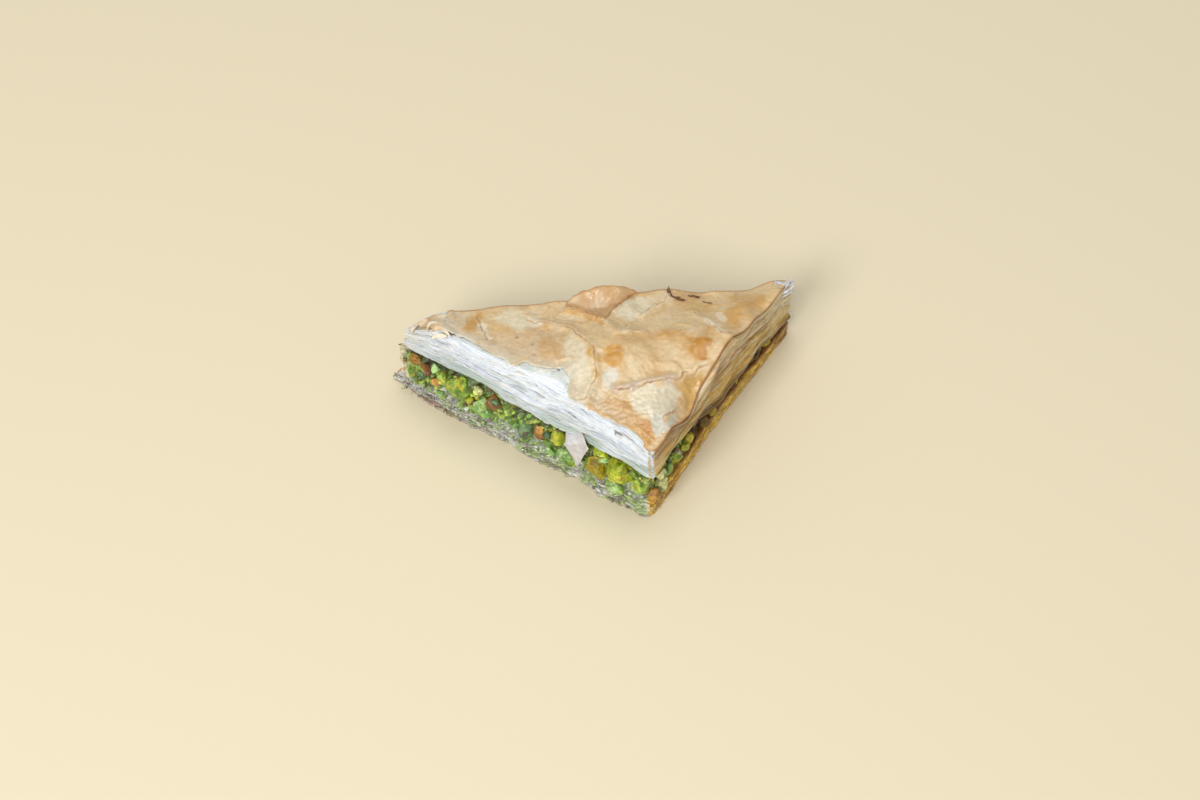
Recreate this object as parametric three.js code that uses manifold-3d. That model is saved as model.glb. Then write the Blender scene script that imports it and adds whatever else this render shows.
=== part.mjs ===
// A triangular piece of pistachio baklava: a tray square cut once across its diagonal.
// From the top down it is a thick stack of crisp phyllo leaves with a blistered, browned top leaf,
// a layer of roughly chopped pistachios, and a thin stack of phyllo that the syrup has soaked flat.
//
// Millimetres, +Z up. The long cut edge lies along X at the back, and the square corner points to -Y.
// The origin is the middle of the piece's footprint box, on the table that it lies on.

import * as THREE from "three";
import { mergeVertices } from "three/addons/utils/BufferGeometryUtils.js";
import Module from "manifold-3d";

const wasm = await Module();
wasm.setup();

// ---- Driving dimensions ----

const BACK_EDGE = 119; // the diagonal cut
const LEFT_EDGE = 91.4; // the tray square's own cut sides
const RIGHT_EDGE = 80.4;
const LAYER_GAP = 0.3; // clear space left between two layers

// The heights of each layer's upper face above the table, where a ruler would be stood.
// across: share of the back edge, from the left tip.
// out: share of the way from the back edge to the front corner.
const HEIGHT_POSTS = [
  { across: 0.57, out: 1.0, base: 4.8, filling: 20.8, top: 33.6 }, // front corner
  { across: 0.484, out: 0.85, base: 5.0, filling: 23.2, top: 35.0 },
  { across: 0.388, out: 0.68, base: 5.0, filling: 22.0, top: 35.8 },
  { across: 0.28, out: 0.5, base: 4.6, filling: 19.2, top: 36.2 }, // middle of the left side
  { across: 0.165, out: 0.29, base: 4.7, filling: 22.2, top: 34.0 },
  { across: 0.1, out: 0.19, base: 4.6, filling: 18.6, top: 33.2 },
  { across: 0.0, out: 0.0, base: 4.2, filling: 18.0, top: 23.4 }, // left tip
  { across: 0.69, out: 0.75, base: 5.4, filling: 25.0, top: 36.0 },
  { across: 0.72, out: 0.65, base: 5.6, filling: 16.8, top: 35.6 },
  { across: 0.78, out: 0.5, base: 6.2, filling: 13.2, top: 37.8 }, // middle of the right side
  { across: 0.89, out: 0.27, base: 5.8, filling: 14.2, top: 34.0 },
  { across: 0.957, out: 0.1, base: 4.9, filling: 10.0, top: 32.6 },
  { across: 1.0, out: 0.0, base: 4.4, filling: 6.4, top: 23.0 }, // right tip
  { across: 0.9, out: 0.0, base: 5.2, filling: 9.8, top: 20.4 },
  { across: 0.8, out: 0.0, base: 5.6, filling: 11.0, top: 23.8 },
  { across: 0.66, out: 0.0, base: 5.5, filling: 13.8, top: 29.0 },
  { across: 0.52, out: 0.0, base: 5.4, filling: 16.0, top: 30.4 }, // middle of the back
  { across: 0.36, out: 0.0, base: 5.1, filling: 16.2, top: 29.8 },
  { across: 0.22, out: 0.0, base: 5.0, filling: 15.6, top: 29.2 },
  { across: 0.53, out: 0.42, base: 5.6, filling: 18.8, top: 37.4 }, // middle of the top
];
const POST_REACH = 7; // how gently the surface passes a post

// ---- The plan: three corners, and the point that the rings of each layer shrink to ----

const frontAlong =
  (LEFT_EDGE ** 2 - RIGHT_EDGE ** 2 + BACK_EDGE ** 2) / (2 * BACK_EDGE);
const DEPTH = Math.sqrt(LEFT_EDGE ** 2 - frontAlong ** 2);
const LEFT_TIP = new THREE.Vector2(-BACK_EDGE / 2, DEPTH / 2);
const RIGHT_TIP = new THREE.Vector2(BACK_EDGE / 2, DEPTH / 2);
const FRONT_CORNER = new THREE.Vector2(frontAlong - BACK_EDGE / 2, -DEPTH / 2);
const MIDDLE = new THREE.Vector2()
  .add(LEFT_TIP)
  .add(RIGHT_TIP)
  .add(FRONT_CORNER)
  .divideScalar(3);
const SIDES = {
  right: [FRONT_CORNER, RIGHT_TIP],
  back: [RIGHT_TIP, LEFT_TIP],
  left: [LEFT_TIP, FRONT_CORNER],
};

const planOf = ({ across, out }) =>
  new THREE.Vector2(
    LEFT_TIP.x + across * BACK_EDGE,
    LEFT_TIP.y - out * DEPTH,
  );
const POSTS = HEIGHT_POSTS.map((post) => ({ ...post, plan: planOf(post) }));

// The height of a layer's upper face: the posts' heights, weighted by how near each one stands.
function heightOf(layer, x, y) {
  let sum = 0;
  let weights = 0;
  for (const post of POSTS) {
    const distance = Math.hypot(x - post.plan.x, y - post.plan.y, POST_REACH);
    const weight = distance ** -3;
    sum += weight * post[layer];
    weights += weight;
  }
  return sum / weights;
}

// Which side a point of the outline belongs to, and how far along it, 0 to 1.
function sideOf(point) {
  let found = { distance: Infinity };
  for (const [name, [from, to]] of Object.entries(SIDES)) {
    const line = to.clone().sub(from);
    const along = point.clone().sub(from).dot(line) / line.lengthSq();
    const foot = from.clone().addScaledVector(line, along);
    const distance = foot.distanceTo(point);
    if (distance < found.distance)
      found = { name, along: THREE.MathUtils.clamp(along, 0, 1), distance };
  }
  return found;
}

// A layer's outline: the triangle with its corners trimmed and rounded, as evenly spaced points.
// Each point keeps its direction away from the middle, its side, and its share of the way round.
// Relief moves a point along that direction, so a ring never folds over itself at a sharp tip.
function outlineOf({ points, trim, rounding }) {
  const corners = ["front", "right", "left"].map((name, i) => {
    const corner = [FRONT_CORNER, RIGHT_TIP, LEFT_TIP][i];
    const inward = MIDDLE.clone().sub(corner).normalize();
    return {
      at: corner.clone().addScaledVector(inward, trim[name]),
      radius: rounding[name],
    };
  });
  const path = new THREE.Path();
  corners.forEach(({ at, radius }, i) => {
    const before = corners[(i + 2) % 3].at.clone().sub(at).setLength(radius);
    const after = corners[(i + 1) % 3].at.clone().sub(at).setLength(radius);
    const enter = at.clone().add(before);
    const leave = at.clone().add(after);
    if (i === 0) path.moveTo(enter.x, enter.y);
    else path.lineTo(enter.x, enter.y);
    path.quadraticCurveTo(at.x, at.y, leave.x, leave.y);
  });
  path.closePath();
  const ring = path.getSpacedPoints(points).slice(0, points);
  return ring.map((point, i) => ({
    point,
    away: point.clone().sub(MIDDLE).normalize(),
    side: sideOf(point),
    share: i / points,
  }));
}

// Where a side swells out of its straight line, or lies in from it. width: share of the side.
const SWELLS = [
  { side: "left", along: 0.25, width: 0.2, out: 3.1 },
  { side: "left", along: 0.58, width: 0.1, out: 0.9 },
  { side: "left", along: 0.82, width: 0.08, out: 1.3 },
  { side: "right", along: 0.55, width: 0.3, out: -1.2 },
  { side: "back", along: 0.5, width: 0.3, out: 0.5 },
];

const bell = (value) => Math.exp(-(value ** 2));

function swellOf(side, along) {
  let out = 0;
  for (const swell of SWELLS)
    if (swell.side === side)
      out += swell.out * bell((along - swell.along) / swell.width);
  return out;
}

// A slow wave round the outline, from whole-number counts so that it closes on itself.
const ripple = (share, count, phase = 0) =>
  Math.sin(2 * Math.PI * count * share + phase);

// ---- Closed geometry ----

// Closes a run of loops, each with the same number of points, between two pole points.
function stitch(firstPole, loops, lastPole) {
  const count = loops[0].length;
  const vertices = [firstPole, ...loops.flat(), lastPole];
  const last = vertices.length - 1;
  const at = (loop, i) => 1 + loop * count + (i % count);
  const indices = [];
  for (let i = 0; i < count; i++) {
    indices.push(0, at(0, i), at(0, i + 1));
    for (let loop = 0; loop + 1 < loops.length; loop++) {
      const [a, b] = [at(loop, i), at(loop, i + 1)];
      const [c, d] = [at(loop + 1, i), at(loop + 1, i + 1)];
      indices.push(a, c, d, a, d, b);
    }
    indices.push(last, at(loops.length - 1, i + 1), at(loops.length - 1, i));
  }
  return new THREE.BufferGeometry()
    .setFromPoints(vertices)
    .setIndex(indices);
}

// One layer of the piece. upper and lower give the heights of its two faces, and
// face(depth, spot) how far its cut side stands out of the outline, at depth 0 (top) to 1 (bottom).
function layerGeometry({ outline, upperRings, rows, lowerRings, upper, lower, face }) {
  const rim = (depth) =>
    outline.map((spot) =>
      spot.point.clone().addScaledVector(spot.away, face(depth, spot)),
    );
  const raised = (plan, height) =>
    new THREE.Vector3(plan.x, plan.y, height(plan.x, plan.y));
  const shrunk = (loop, share) =>
    loop.map((plan) => MIDDLE.clone().lerp(plan, share));

  const topRim = rim(0);
  const lowRim = rim(1);
  const loops = [];
  for (let ring = 1; ring <= upperRings; ring++)
    loops.push(shrunk(topRim, ring / upperRings).map((p) => raised(p, upper)));
  for (let row = 1; row <= rows; row++) {
    const depth = row / rows;
    loops.push(
      rim(depth).map((plan, i) => {
        const high = upper(topRim[i].x, topRim[i].y);
        const low = lower(lowRim[i].x, lowRim[i].y);
        return new THREE.Vector3(plan.x, plan.y, high + (low - high) * depth);
      }),
    );
  }
  for (let ring = lowerRings; ring >= 1; ring--)
    loops.push(
      shrunk(lowRim, ring / (lowerRings + 1)).map((p) => raised(p, lower)),
    );
  return stitch(raised(MIDDLE, upper), loops, raised(MIDDLE, lower));
}

// A thin torn leaf: a grid of points on a surface, given twice, one thickness apart.
function leafGeometry({ across, along, thickness, surface }) {
  const step = 1e-3;
  const onFace = (a, b, side) => {
    const here = surface(a, b);
    const alongA = surface(a + step, b).sub(here);
    const alongB = surface(a, b + step).sub(here);
    const normal = alongA.cross(alongB).normalize();
    return here.addScaledVector(normal, (side * thickness) / 2);
  };
  const vertices = [];
  for (const side of [1, -1])
    for (let j = 0; j <= along; j++)
      for (let i = 0; i <= across; i++)
        vertices.push(onFace(i / across, j / along, side));
  const faceSize = (across + 1) * (along + 1);
  const at = (i, j) => j * (across + 1) + i;
  const indices = [];
  for (let j = 0; j < along; j++)
    for (let i = 0; i < across; i++) {
      const [a, b] = [at(i, j), at(i + 1, j)];
      const [c, d] = [at(i, j + 1), at(i + 1, j + 1)];
      indices.push(a, b, d, a, d, c);
      const under = [a, b, d, a, d, c].map((v) => v + faceSize).reverse();
      indices.push(...under);
    }
  const border = [];
  for (let i = 0; i < across; i++) border.push(at(i, 0));
  for (let j = 0; j < along; j++) border.push(at(across, j));
  for (let i = across; i > 0; i--) border.push(at(i, along));
  for (let j = along; j > 0; j--) border.push(at(0, j));
  border.forEach((a, i) => {
    const b = border[(i + 1) % border.length];
    indices.push(a, a + faceSize, b + faceSize, a, b + faceSize, b);
  });
  return new THREE.BufferGeometry()
    .setFromPoints(vertices)
    .setIndex(indices);
}

// ---- Joining with manifold-3d ----

function solidOf(geometry) {
  const bare = geometry.clone();
  bare.deleteAttribute("normal");
  bare.deleteAttribute("uv");
  const merged = mergeVertices(bare, 1e-4);
  const solid = new wasm.Manifold(
    new wasm.Mesh({
      numProp: 3,
      vertProperties: merged.attributes.position.array,
      triVerts: new Uint32Array(merged.index.array),
    }),
  );
  return solid;
}

// The largest body of a solid, as a geometry: a loose scrap that a cut leaves behind is dropped,
// and so are slivers finer than a cut leaves on real pastry.
const FINEST_EDGE = 0.02;

function geometryOf(solid) {
  const [body] = solid.decompose().sort((a, b) => b.volume() - a.volume());
  const mesh = body.simplify(FINEST_EDGE).getMesh();
  const geometry = new THREE.BufferGeometry();
  geometry.setAttribute(
    "position",
    new THREE.BufferAttribute(mesh.vertProperties, 3),
  );
  geometry.setIndex(new THREE.BufferAttribute(mesh.triVerts, 1));
  return geometry;
}

const joined = (solids) => solids.reduce((whole, solid) => whole.add(solid));

// A repeatable run of numbers from 0 to 1.
function seededDraw(seed) {
  let state = seed;
  return () => {
    state = (state * 1664525 + 1013904223) % 4294967296;
    return state / 4294967296;
  };
}

// ---- Bottom stack: phyllo soaked flat by the syrup, with a ragged edge ----

const BASE_RAGGED = 0.45; // depth of the torn edge
const BASE_FOOT_ROUND = 0.7; // the lowest leaf curls in under the edge

function baseFace(depth, { share, side }) {
  const swell = swellOf(side.name, side.along);
  const ragged =
    ripple(share, 31, 5 * depth) + 0.7 * ripple(share, 19, 1.7 + 4 * depth);
  const foot = depth === 1 ? BASE_FOOT_ROUND : 0;
  return swell + BASE_RAGGED * ragged - foot;
}

const baseGeometry = layerGeometry({
  outline: outlineOf({
    points: 110,
    trim: { front: -0.4, right: -1.8, left: -2.0 },
    rounding: { front: 3, right: 3.5, left: 4.5 },
  }),
  upperRings: 3,
  rows: 3,
  lowerRings: 0,
  upper: (x, y) => heightOf("base", x, y),
  lower: () => 0,
  face: baseFace,
});

// ---- Filling: chopped pistachios, packed and glued with syrup ----

const CORE_INSET = 1.3; // the packed crumb behind the nuts that show
const CORE_SAG = 0.7; // it has sunk a little from the leaves above
const NUT_PROUD = 0.3; // share of a nut's thickness that stands out of the piece's side
const FILLING_SWELL = 0.85; // share of the bottom stack's swell that the nuts follow

const fillingUpper = (x, y) => heightOf("filling", x, y);
const fillingLower = (x, y) => heightOf("base", x, y) + LAYER_GAP;

const coreSolid = solidOf(
  layerGeometry({
    outline: outlineOf({
      points: 72,
      trim: { front: 1.5, right: 4, left: 0.4 },
      rounding: { front: 4, right: 6, left: 5 },
    }),
    upperRings: 5,
    rows: 3,
    lowerRings: 2,
    upper: (x, y) => fillingUpper(x, y) - CORE_SAG,
    lower: (x, y) => fillingLower(x, y) + LAYER_GAP / 2,
    face: (depth, { share, side }) =>
      FILLING_SWELL * swellOf(side.name, side.along) -
      CORE_INSET +
      0.5 * ripple(share, 13, 6 * depth),
  }),
);

// The room between the two stacks, run on past the piece's sides, for the nuts that stand proud.
const nutRoom = solidOf(
  layerGeometry({
    outline: outlineOf({
      points: 60,
      trim: { front: -8, right: -10, left: -10 },
      rounding: { front: 4, right: 4, left: 4 },
    }),
    upperRings: 9,
    rows: 1,
    lowerRings: 4,
    upper: fillingUpper,
    lower: fillingLower,
    face: () => 0,
  }),
);

// The larger nuts of the two tray sides. along: share of the side, from its first corner.
// level: height of the nut's middle. Its width lies along the side.
const LARGE_NUTS = [
  { side: "left", along: 0.085, level: 9.2, width: 3.6, height: 4.4 },
  { side: "left", along: 0.1, level: 16.4, width: 4.2, height: 3.0 },
  { side: "left", along: 0.13, level: 12.2, width: 3.0, height: 3.0 },
  { side: "left", along: 0.15, level: 15.8, width: 4.0, height: 3.2 },
  { side: "left", along: 0.189, level: 13.0, width: 3.0, height: 3.0 },
  { side: "left", along: 0.221, level: 17.4, width: 3.6, height: 4.0 },
  { side: "left", along: 0.281, level: 16.6, width: 7.8, height: 9.8 },
  { side: "left", along: 0.352, level: 19.4, width: 3.0, height: 3.0 },
  { side: "left", along: 0.355, level: 12.4, width: 5.0, height: 10.0 },
  { side: "left", along: 0.411, level: 15.6, width: 4.8, height: 6.0 },
  { side: "left", along: 0.516, level: 12.0, width: 7.4, height: 8.0 },
  { side: "left", along: 0.527, level: 7.2, width: 3.0, height: 3.2 },
  { side: "left", along: 0.585, level: 14.2, width: 3.6, height: 4.0 },
  { side: "left", along: 0.622, level: 7.0, width: 4.0, height: 3.0 },
  { side: "left", along: 0.652, level: 16.2, width: 4.2, height: 9.0 },
  { side: "left", along: 0.666, level: 8.6, width: 5.0, height: 6.0 },
  { side: "left", along: 0.695, level: 6.8, width: 3.6, height: 3.2 },
  { side: "left", along: 0.804, level: 13.2, width: 7.0, height: 8.6 },
  { side: "left", along: 0.815, level: 20.6, width: 5.2, height: 3.4 },
  { side: "left", along: 0.87, level: 7.6, width: 7.2, height: 4.8 },
  { side: "left", along: 0.884, level: 15.4, width: 8.6, height: 10.4 },
  { side: "left", along: 0.952, level: 11.8, width: 5.0, height: 5.6 },
  { side: "right", along: 0.043, level: 8.0, width: 3.8, height: 5.0 },
  { side: "right", along: 0.07, level: 15.4, width: 3.0, height: 3.0 },
  { side: "right", along: 0.082, level: 11.2, width: 3.6, height: 3.4 },
  { side: "right", along: 0.1, level: 7.2, width: 3.8, height: 3.6 },
  { side: "right", along: 0.134, level: 11.8, width: 3.8, height: 4.6 },
  { side: "right", along: 0.184, level: 13.0, width: 4.8, height: 5.2 },
  { side: "right", along: 0.283, level: 12.2, width: 3.4, height: 4.4 },
  { side: "right", along: 0.405, level: 9.4, width: 3.6, height: 4.2 },
  { side: "right", along: 0.462, level: 8.6, width: 3.4, height: 3.4 },
  { side: "right", along: 0.605, level: 8.2, width: 3.4, height: 3.2 },
  { side: "right", along: 0.775, level: 7.8, width: 3.0, height: 3.0 },
];

// The rest are strewn along each side. The diagonal cut shows more of the large ones.
const STREWN_NUTS = [
  { side: "left", count: 18, smallest: 2.4, largest: 3.8 },
  { side: "right", count: 18, smallest: 2.4, largest: 3.6 },
  { side: "back", count: 26, smallest: 2.8, largest: 7.4 },
];
const STREWN_SPAN = { left: [0.05, 0.97], right: [0.02, 0.93], back: [0.05, 0.94] };
const COARSE_NUT = 3.4; // nuts wider than this get the rounder of the two lumps
const LUMP_RADIUS = 0.54; // a lump of this radius fills a nut of width 1
const THINNEST_NUT = 0.8; // its thickness, as a share of the smaller of its width and height
const NUT_TILT = 0.7; // how far the nuts are turned about each axis, radians from end to end
const NUT_HEADING = 0.5;

function nutSolid({ side, along, level, width, height }, draw) {
  const [from, to] = SIDES[side];
  const run = to.clone().sub(from).normalize();
  const outward = new THREE.Vector2(run.y, -run.x);
  const plump = THREE.MathUtils.lerp(THINNEST_NUT, 1, draw());
  const thickness = Math.min(width, height) * plump;
  const swell = FILLING_SWELL * swellOf(side, along);
  const plan = from
    .clone()
    .lerp(to, along)
    .addScaledVector(outward, swell - thickness * (0.5 - NUT_PROUD));
  const shape =
    width > COARSE_NUT
      ? new THREE.DodecahedronGeometry(LUMP_RADIUS)
      : new THREE.IcosahedronGeometry(LUMP_RADIUS);
  shape.rotateX(draw() * Math.PI).rotateY(draw() * Math.PI);
  shape.scale(width, thickness, height);
  shape.rotateY((draw() - 0.5) * NUT_TILT);
  shape.rotateZ(run.angle() + (draw() - 0.5) * NUT_HEADING);
  shape.translate(plan.x, plan.y, level);
  return solidOf(shape);
}

const FLATTEST_NUT = 0.75; // its height, as a share of its width

// A strewn nut is no larger than the layer's room at its place, and lies within that room.
function strewnNut({ side, smallest, largest }, share, draw) {
  const [from, to] = SIDES[side];
  const [first, last] = STREWN_SPAN[side];
  const along = first + (last - first) * share;
  const plan = from.clone().lerp(to, along);
  const low = fillingLower(plan.x, plan.y);
  const room = fillingUpper(plan.x, plan.y) - low;
  const width = Math.min(smallest + (largest - smallest) * draw() ** 2, room);
  const height = width * THREE.MathUtils.lerp(FLATTEST_NUT, 1, draw());
  const level = low + height / 2 + draw() * (room - height);
  return { side, along, level, width, height };
}

const drawNut = seededDraw(20240);
const nuts = LARGE_NUTS.map((nut) => nutSolid(nut, drawNut));
for (const kind of STREWN_NUTS)
  for (let i = 0; i < kind.count; i++) {
    const share = (i + drawNut()) / kind.count;
    nuts.push(nutSolid(strewnNut(kind, share, drawNut), drawNut));
  }

// ---- Top stack: crisp leaves, with a blistered and creased top leaf ----

const STACK_LEAN = { left: 2.4, right: 0.8, back: 2.2 }; // how far the top of each side leans in
// The leaves of the right side droop over its edge. inward: how far in from the edge they start to.
const DROOPS = [
  { along: 0.26, width: 0.11, depth: 7.8, inward: 5 },
  { along: 0.78, width: 0.06, depth: 2.4, inward: 4 },
];
const LEAF_RELIEF = 0.42; // ridges of leaf edges on the cut side
const LEAF_BUNDLES = 3.5; // bundles of leaves that stand apart down the side

// Blisters of the top leaf: where, how wide, and how high.
const BLISTERS = [
  { x: -25, y: 19, radius: 7, height: 0.9 },
  { x: -15, y: 8, radius: 7, height: 0.7 },
  { x: -8, y: 2, radius: 5, height: 0.8 },
  { x: 9, y: 22, radius: 5, height: 1.0 },
  { x: 4, y: 3, radius: 8, height: 0.8 },
  { x: 22, y: 9, radius: 9, height: 0.9 },
  { x: 11, y: -17, radius: 5, height: 0.7 },
  { x: 44, y: 22, radius: 6, height: 0.8 },
  { x: -40, y: 21, radius: 4, height: 0.7 },
];

// Creases of the top leaf, as the plan points that each one runs through.
const CREASES = [
  [[-16, 21], [-9, 17], [-4, 7], [-4, -4], [-8, -10]],
  [[-7, 25], [0, 19.5], [2, 18], [5, 22.5], [8, 27]],
  [[2, 18], [4, 11], [11, 11]],
  [[22, 27], [18, 23], [13, 19]],
  [[28, 19.5], [31.5, 14], [34, 6], [36.5, 5]],
  [[1, -9], [12, -8], [20, -7], [28, -4]],
  [[20, -12], [15, -17], [13, -21]],
  [[-49, 21], [-48, 25], [-45, 23], [-42, 17]],
];
const CREASE = { height: 0.9, width: 1.5 };

const lineFrom = ([ax, ay], [bx, by]) =>
  new THREE.Line3(new THREE.Vector3(ax, ay, 0), new THREE.Vector3(bx, by, 0));
const CREASE_LINES = CREASES.flatMap((points) =>
  points.slice(1).map((point, i) => lineFrom(points[i], point)),
);

function topLeafRelief(x, y) {
  const here = new THREE.Vector3(x, y, 0);
  const foot = new THREE.Vector3();
  let blister = 0;
  for (const b of BLISTERS) {
    const away = Math.hypot(x - b.x, y - b.y) / b.radius;
    blister += b.height * bell(away);
  }
  let nearest = Infinity;
  for (const line of CREASE_LINES)
    nearest = Math.min(
      nearest,
      line.closestPointToPoint(here, true, foot).distanceTo(here),
    );
  return blister + CREASE.height * bell(nearest / CREASE.width);
}

const rightRun = RIGHT_TIP.clone().sub(FRONT_CORNER).normalize();

function droopOf(x, y) {
  const fromCorner = new THREE.Vector2(x, y).sub(FRONT_CORNER);
  const along = fromCorner.dot(rightRun) / RIGHT_EDGE;
  const inward = Math.max(rightRun.cross(fromCorner), 0);
  let droop = 0;
  for (const d of DROOPS)
    droop += d.depth * bell((along - d.along) / d.width) * bell(inward / d.inward);
  return droop;
}

const TOP_LEAF_DIP = 0.6; // the top leaf lies this far under its crests
const stackUpper = (x, y) =>
  heightOf("top", x, y) - TOP_LEAF_DIP + topLeafRelief(x, y) - droopOf(x, y);
const stackLower = (x, y) => heightOf("filling", x, y) + LAYER_GAP;

function stackFace(depth, { share, side }) {
  const lean = STACK_LEAN[side.name] * (1 - depth);
  const bundle = Math.sin(
    2 * Math.PI * (LEAF_BUNDLES * depth + 0.22 * ripple(share, 5, 0.8)),
  );
  return LEAF_RELIEF * (bundle + 0.8 * ripple(share, 17, 7 * depth)) - lean;
}

const stackSolid = solidOf(
  layerGeometry({
    outline: outlineOf({
      points: 108,
      trim: { front: -1.0, right: -2.6, left: 0.8 },
      rounding: { front: 2, right: 4, left: 6.5 },
    }),
    upperRings: 12,
    rows: 8,
    lowerRings: 5,
    upper: stackUpper,
    lower: stackLower,
    face: stackFace,
  }),
);

// ---- Loose leaf edges that belong to the top stack ----

const FLAKE_THICKNESS = 0.7;

// A torn scrap, like a kite, that hangs from the stack's lowest leaves over the left face.
// widestAt and hangsBy: shares of the way from its root, inside the stack, to its lower tip.
const SCRAP = {
  along: 0.742,
  width: 8.6,
  widestAt: 0.4,
  rootWidth: 0.6, // share of the width that is still joined to the stack
  tipWidth: 0.08,
  sway: 3.4, // the root lies this far to the left of the rest
  root: -1,
  stand: 2.6,
  hangsBy: 0.3,
  rise: 1.2,
  drop: 11.6,
  bend: 1.8, // it comes out level before it drops
  slant: 0.45, // its right half hangs higher
  wave: 0.35,
};
const leftRun = FRONT_CORNER.clone().sub(LEFT_TIP).normalize();
const leftOut = new THREE.Vector2(leftRun.y, -leftRun.x);

function scrapSurface(a, b) {
  const { lerp, smoothstep, clamp } = THREE.MathUtils;
  const widening = lerp(SCRAP.rootWidth, 1, smoothstep(b, 0, SCRAP.widestAt));
  const past = clamp((b - SCRAP.widestAt) / (1 - SCRAP.widestAt), 0, 1);
  const spread = widening * lerp(1, SCRAP.tipWidth, past);
  const hang = smoothstep(b, 0, SCRAP.hangsBy);
  const across = (a - 0.5) * SCRAP.width * spread;
  const wave = SCRAP.wave * spread ** 2 * Math.sin(6 * a + 3 * b);
  const stand = lerp(SCRAP.root, SCRAP.stand, hang) + wave;
  const plan = LEFT_TIP.clone()
    .lerp(FRONT_CORNER, SCRAP.along)
    .addScaledVector(leftRun, across - SCRAP.sway * (1 - hang))
    .addScaledVector(leftOut, stand);
  const top = heightOf("filling", plan.x, plan.y) + SCRAP.rise;
  const fall = SCRAP.drop * b ** SCRAP.bend - SCRAP.slant * across;
  return new THREE.Vector3(plan.x, plan.y, top - fall);
}

// A flap of the top leaf that has lifted along the back edge.
// sunk: how deep its root lies in the leaf under it. taper: how much shorter its free edge is.
const FLAP = {
  x: 3.4,
  y: 23.4,
  length: 21,
  taper: 0.12,
  depth: 6,
  lift: 3.8,
  edge: 0.3, // the free edge stands up this far from end to end
  sunk: 0.35,
  wave: 0.6,
};

function flapSurface(a, b) {
  const x = FLAP.x + (a - 0.5) * FLAP.length * (1 - FLAP.taper * b);
  const y = FLAP.y + FLAP.depth * b + FLAP.wave * Math.sin(5 * a);
  const arch = Math.sin(Math.PI * THREE.MathUtils.lerp(0.15, 0.85, a));
  const lifted = (FLAP.lift * arch + FLAP.edge) * b;
  return new THREE.Vector3(x, y, stackUpper(x, y) - FLAP.sunk + lifted);
}

// Leaf ends fray out of the right tip and curl up, each in its own direction.
// The topmost one curls the most, and all sag a little on the way out.
const FRAY = {
  count: 4,
  length: 5.6,
  width: 5.6,
  taper: 0.6,
  heading: 0.5,
  turn: 0.3,
  below: 1.6, // the topmost one's root, under the top leaf
  apart: 2.1,
  curl: 3.2,
  lessCurl: 0.8, // for each one down
  sag: 1.6,
  crimp: 0.5,
  wave: 0.35,
};
const FRAY_ROOT = new THREE.Vector2(-5.4, -3.4); // set back from the tip

function fraySurface(index) {
  const heading = FRAY.heading + FRAY.turn * (index - (FRAY.count - 1) / 2);
  const root = RIGHT_TIP.clone().add(FRAY_ROOT);
  const below = FRAY.below + FRAY.apart * index;
  const height = heightOf("top", root.x, root.y) - below;
  return (a, b) => {
    const narrowing = 1 - FRAY.taper * b;
    const aside = (a - 0.5) * FRAY.width * narrowing;
    const out = (FRAY.length + FRAY.crimp * Math.sin(9 * a + index)) * b;
    const x = root.x + out * Math.cos(heading) - aside * Math.sin(heading);
    const y = root.y + out * Math.sin(heading) + aside * Math.cos(heading);
    const curl = (FRAY.curl - FRAY.lessCurl * index) * b ** 3;
    const wave = FRAY.wave * narrowing ** 2 * Math.sin(4 * a);
    return new THREE.Vector3(x, y, height + curl - FRAY.sag * b + wave);
  };
}

const flakes = [
  { across: 5, along: 6, surface: scrapSurface },
  { across: 7, along: 3, surface: flapSurface },
];
for (let i = 0; i < FRAY.count; i++)
  flakes.push({ across: 4, along: 4, surface: fraySurface(i) });

const flakeSolids = flakes.map((flake) =>
  solidOf(leafGeometry({ thickness: FLAKE_THICKNESS, ...flake })),
);
const stackGeometry = geometryOf(joined([stackSolid, ...flakeSolids]));

// The nuts press against both stacks, and a thin gap stays on either side of the layer.
const fillingGeometry = geometryOf(
  joined(nuts)
    .intersect(nutRoom)
    .add(coreSolid)
    .subtract(stackSolid.translate(0, 0, -LAYER_GAP))
    .subtract(solidOf(baseGeometry).translate(0, 0, LAYER_GAP)),
);

// ---- The piece ----

const layers = [
  {
    name: "phyllo_base",
    geometry: baseGeometry,
    color: 0xa27a45,
    roughness: 0.35,
  },
  {
    name: "pistachio_filling",
    geometry: fillingGeometry,
    color: 0x93a24a,
    roughness: 0.4,
  },
  {
    name: "phyllo_top",
    geometry: stackGeometry,
    color: 0xd9b27c,
    roughness: 0.6,
  },
];

const piece = new THREE.Group();
for (const { name, geometry, color, roughness } of layers) {
  const material = new THREE.MeshStandardMaterial({
    color,
    roughness,
    metalness: 0,
  });
  const mesh = new THREE.Mesh(geometry, material);
  mesh.name = name;
  piece.add(mesh);
}

// The ragged layers are set about the middle of their own footprint, on the table.
const box = new THREE.Box3().setFromObject(piece, true);
const middle = box.getCenter(new THREE.Vector3());
piece.position.set(-middle.x, -middle.y, -box.min.z);

const baklava = new THREE.Group();
baklava.add(piece);

export default baklava;
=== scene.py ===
import math

import bmesh
import bpy
import numpy as np
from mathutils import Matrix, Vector
from mathutils.geometry import delaunay_2d_cdt
from mathutils.kdtree import KDTree


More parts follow.
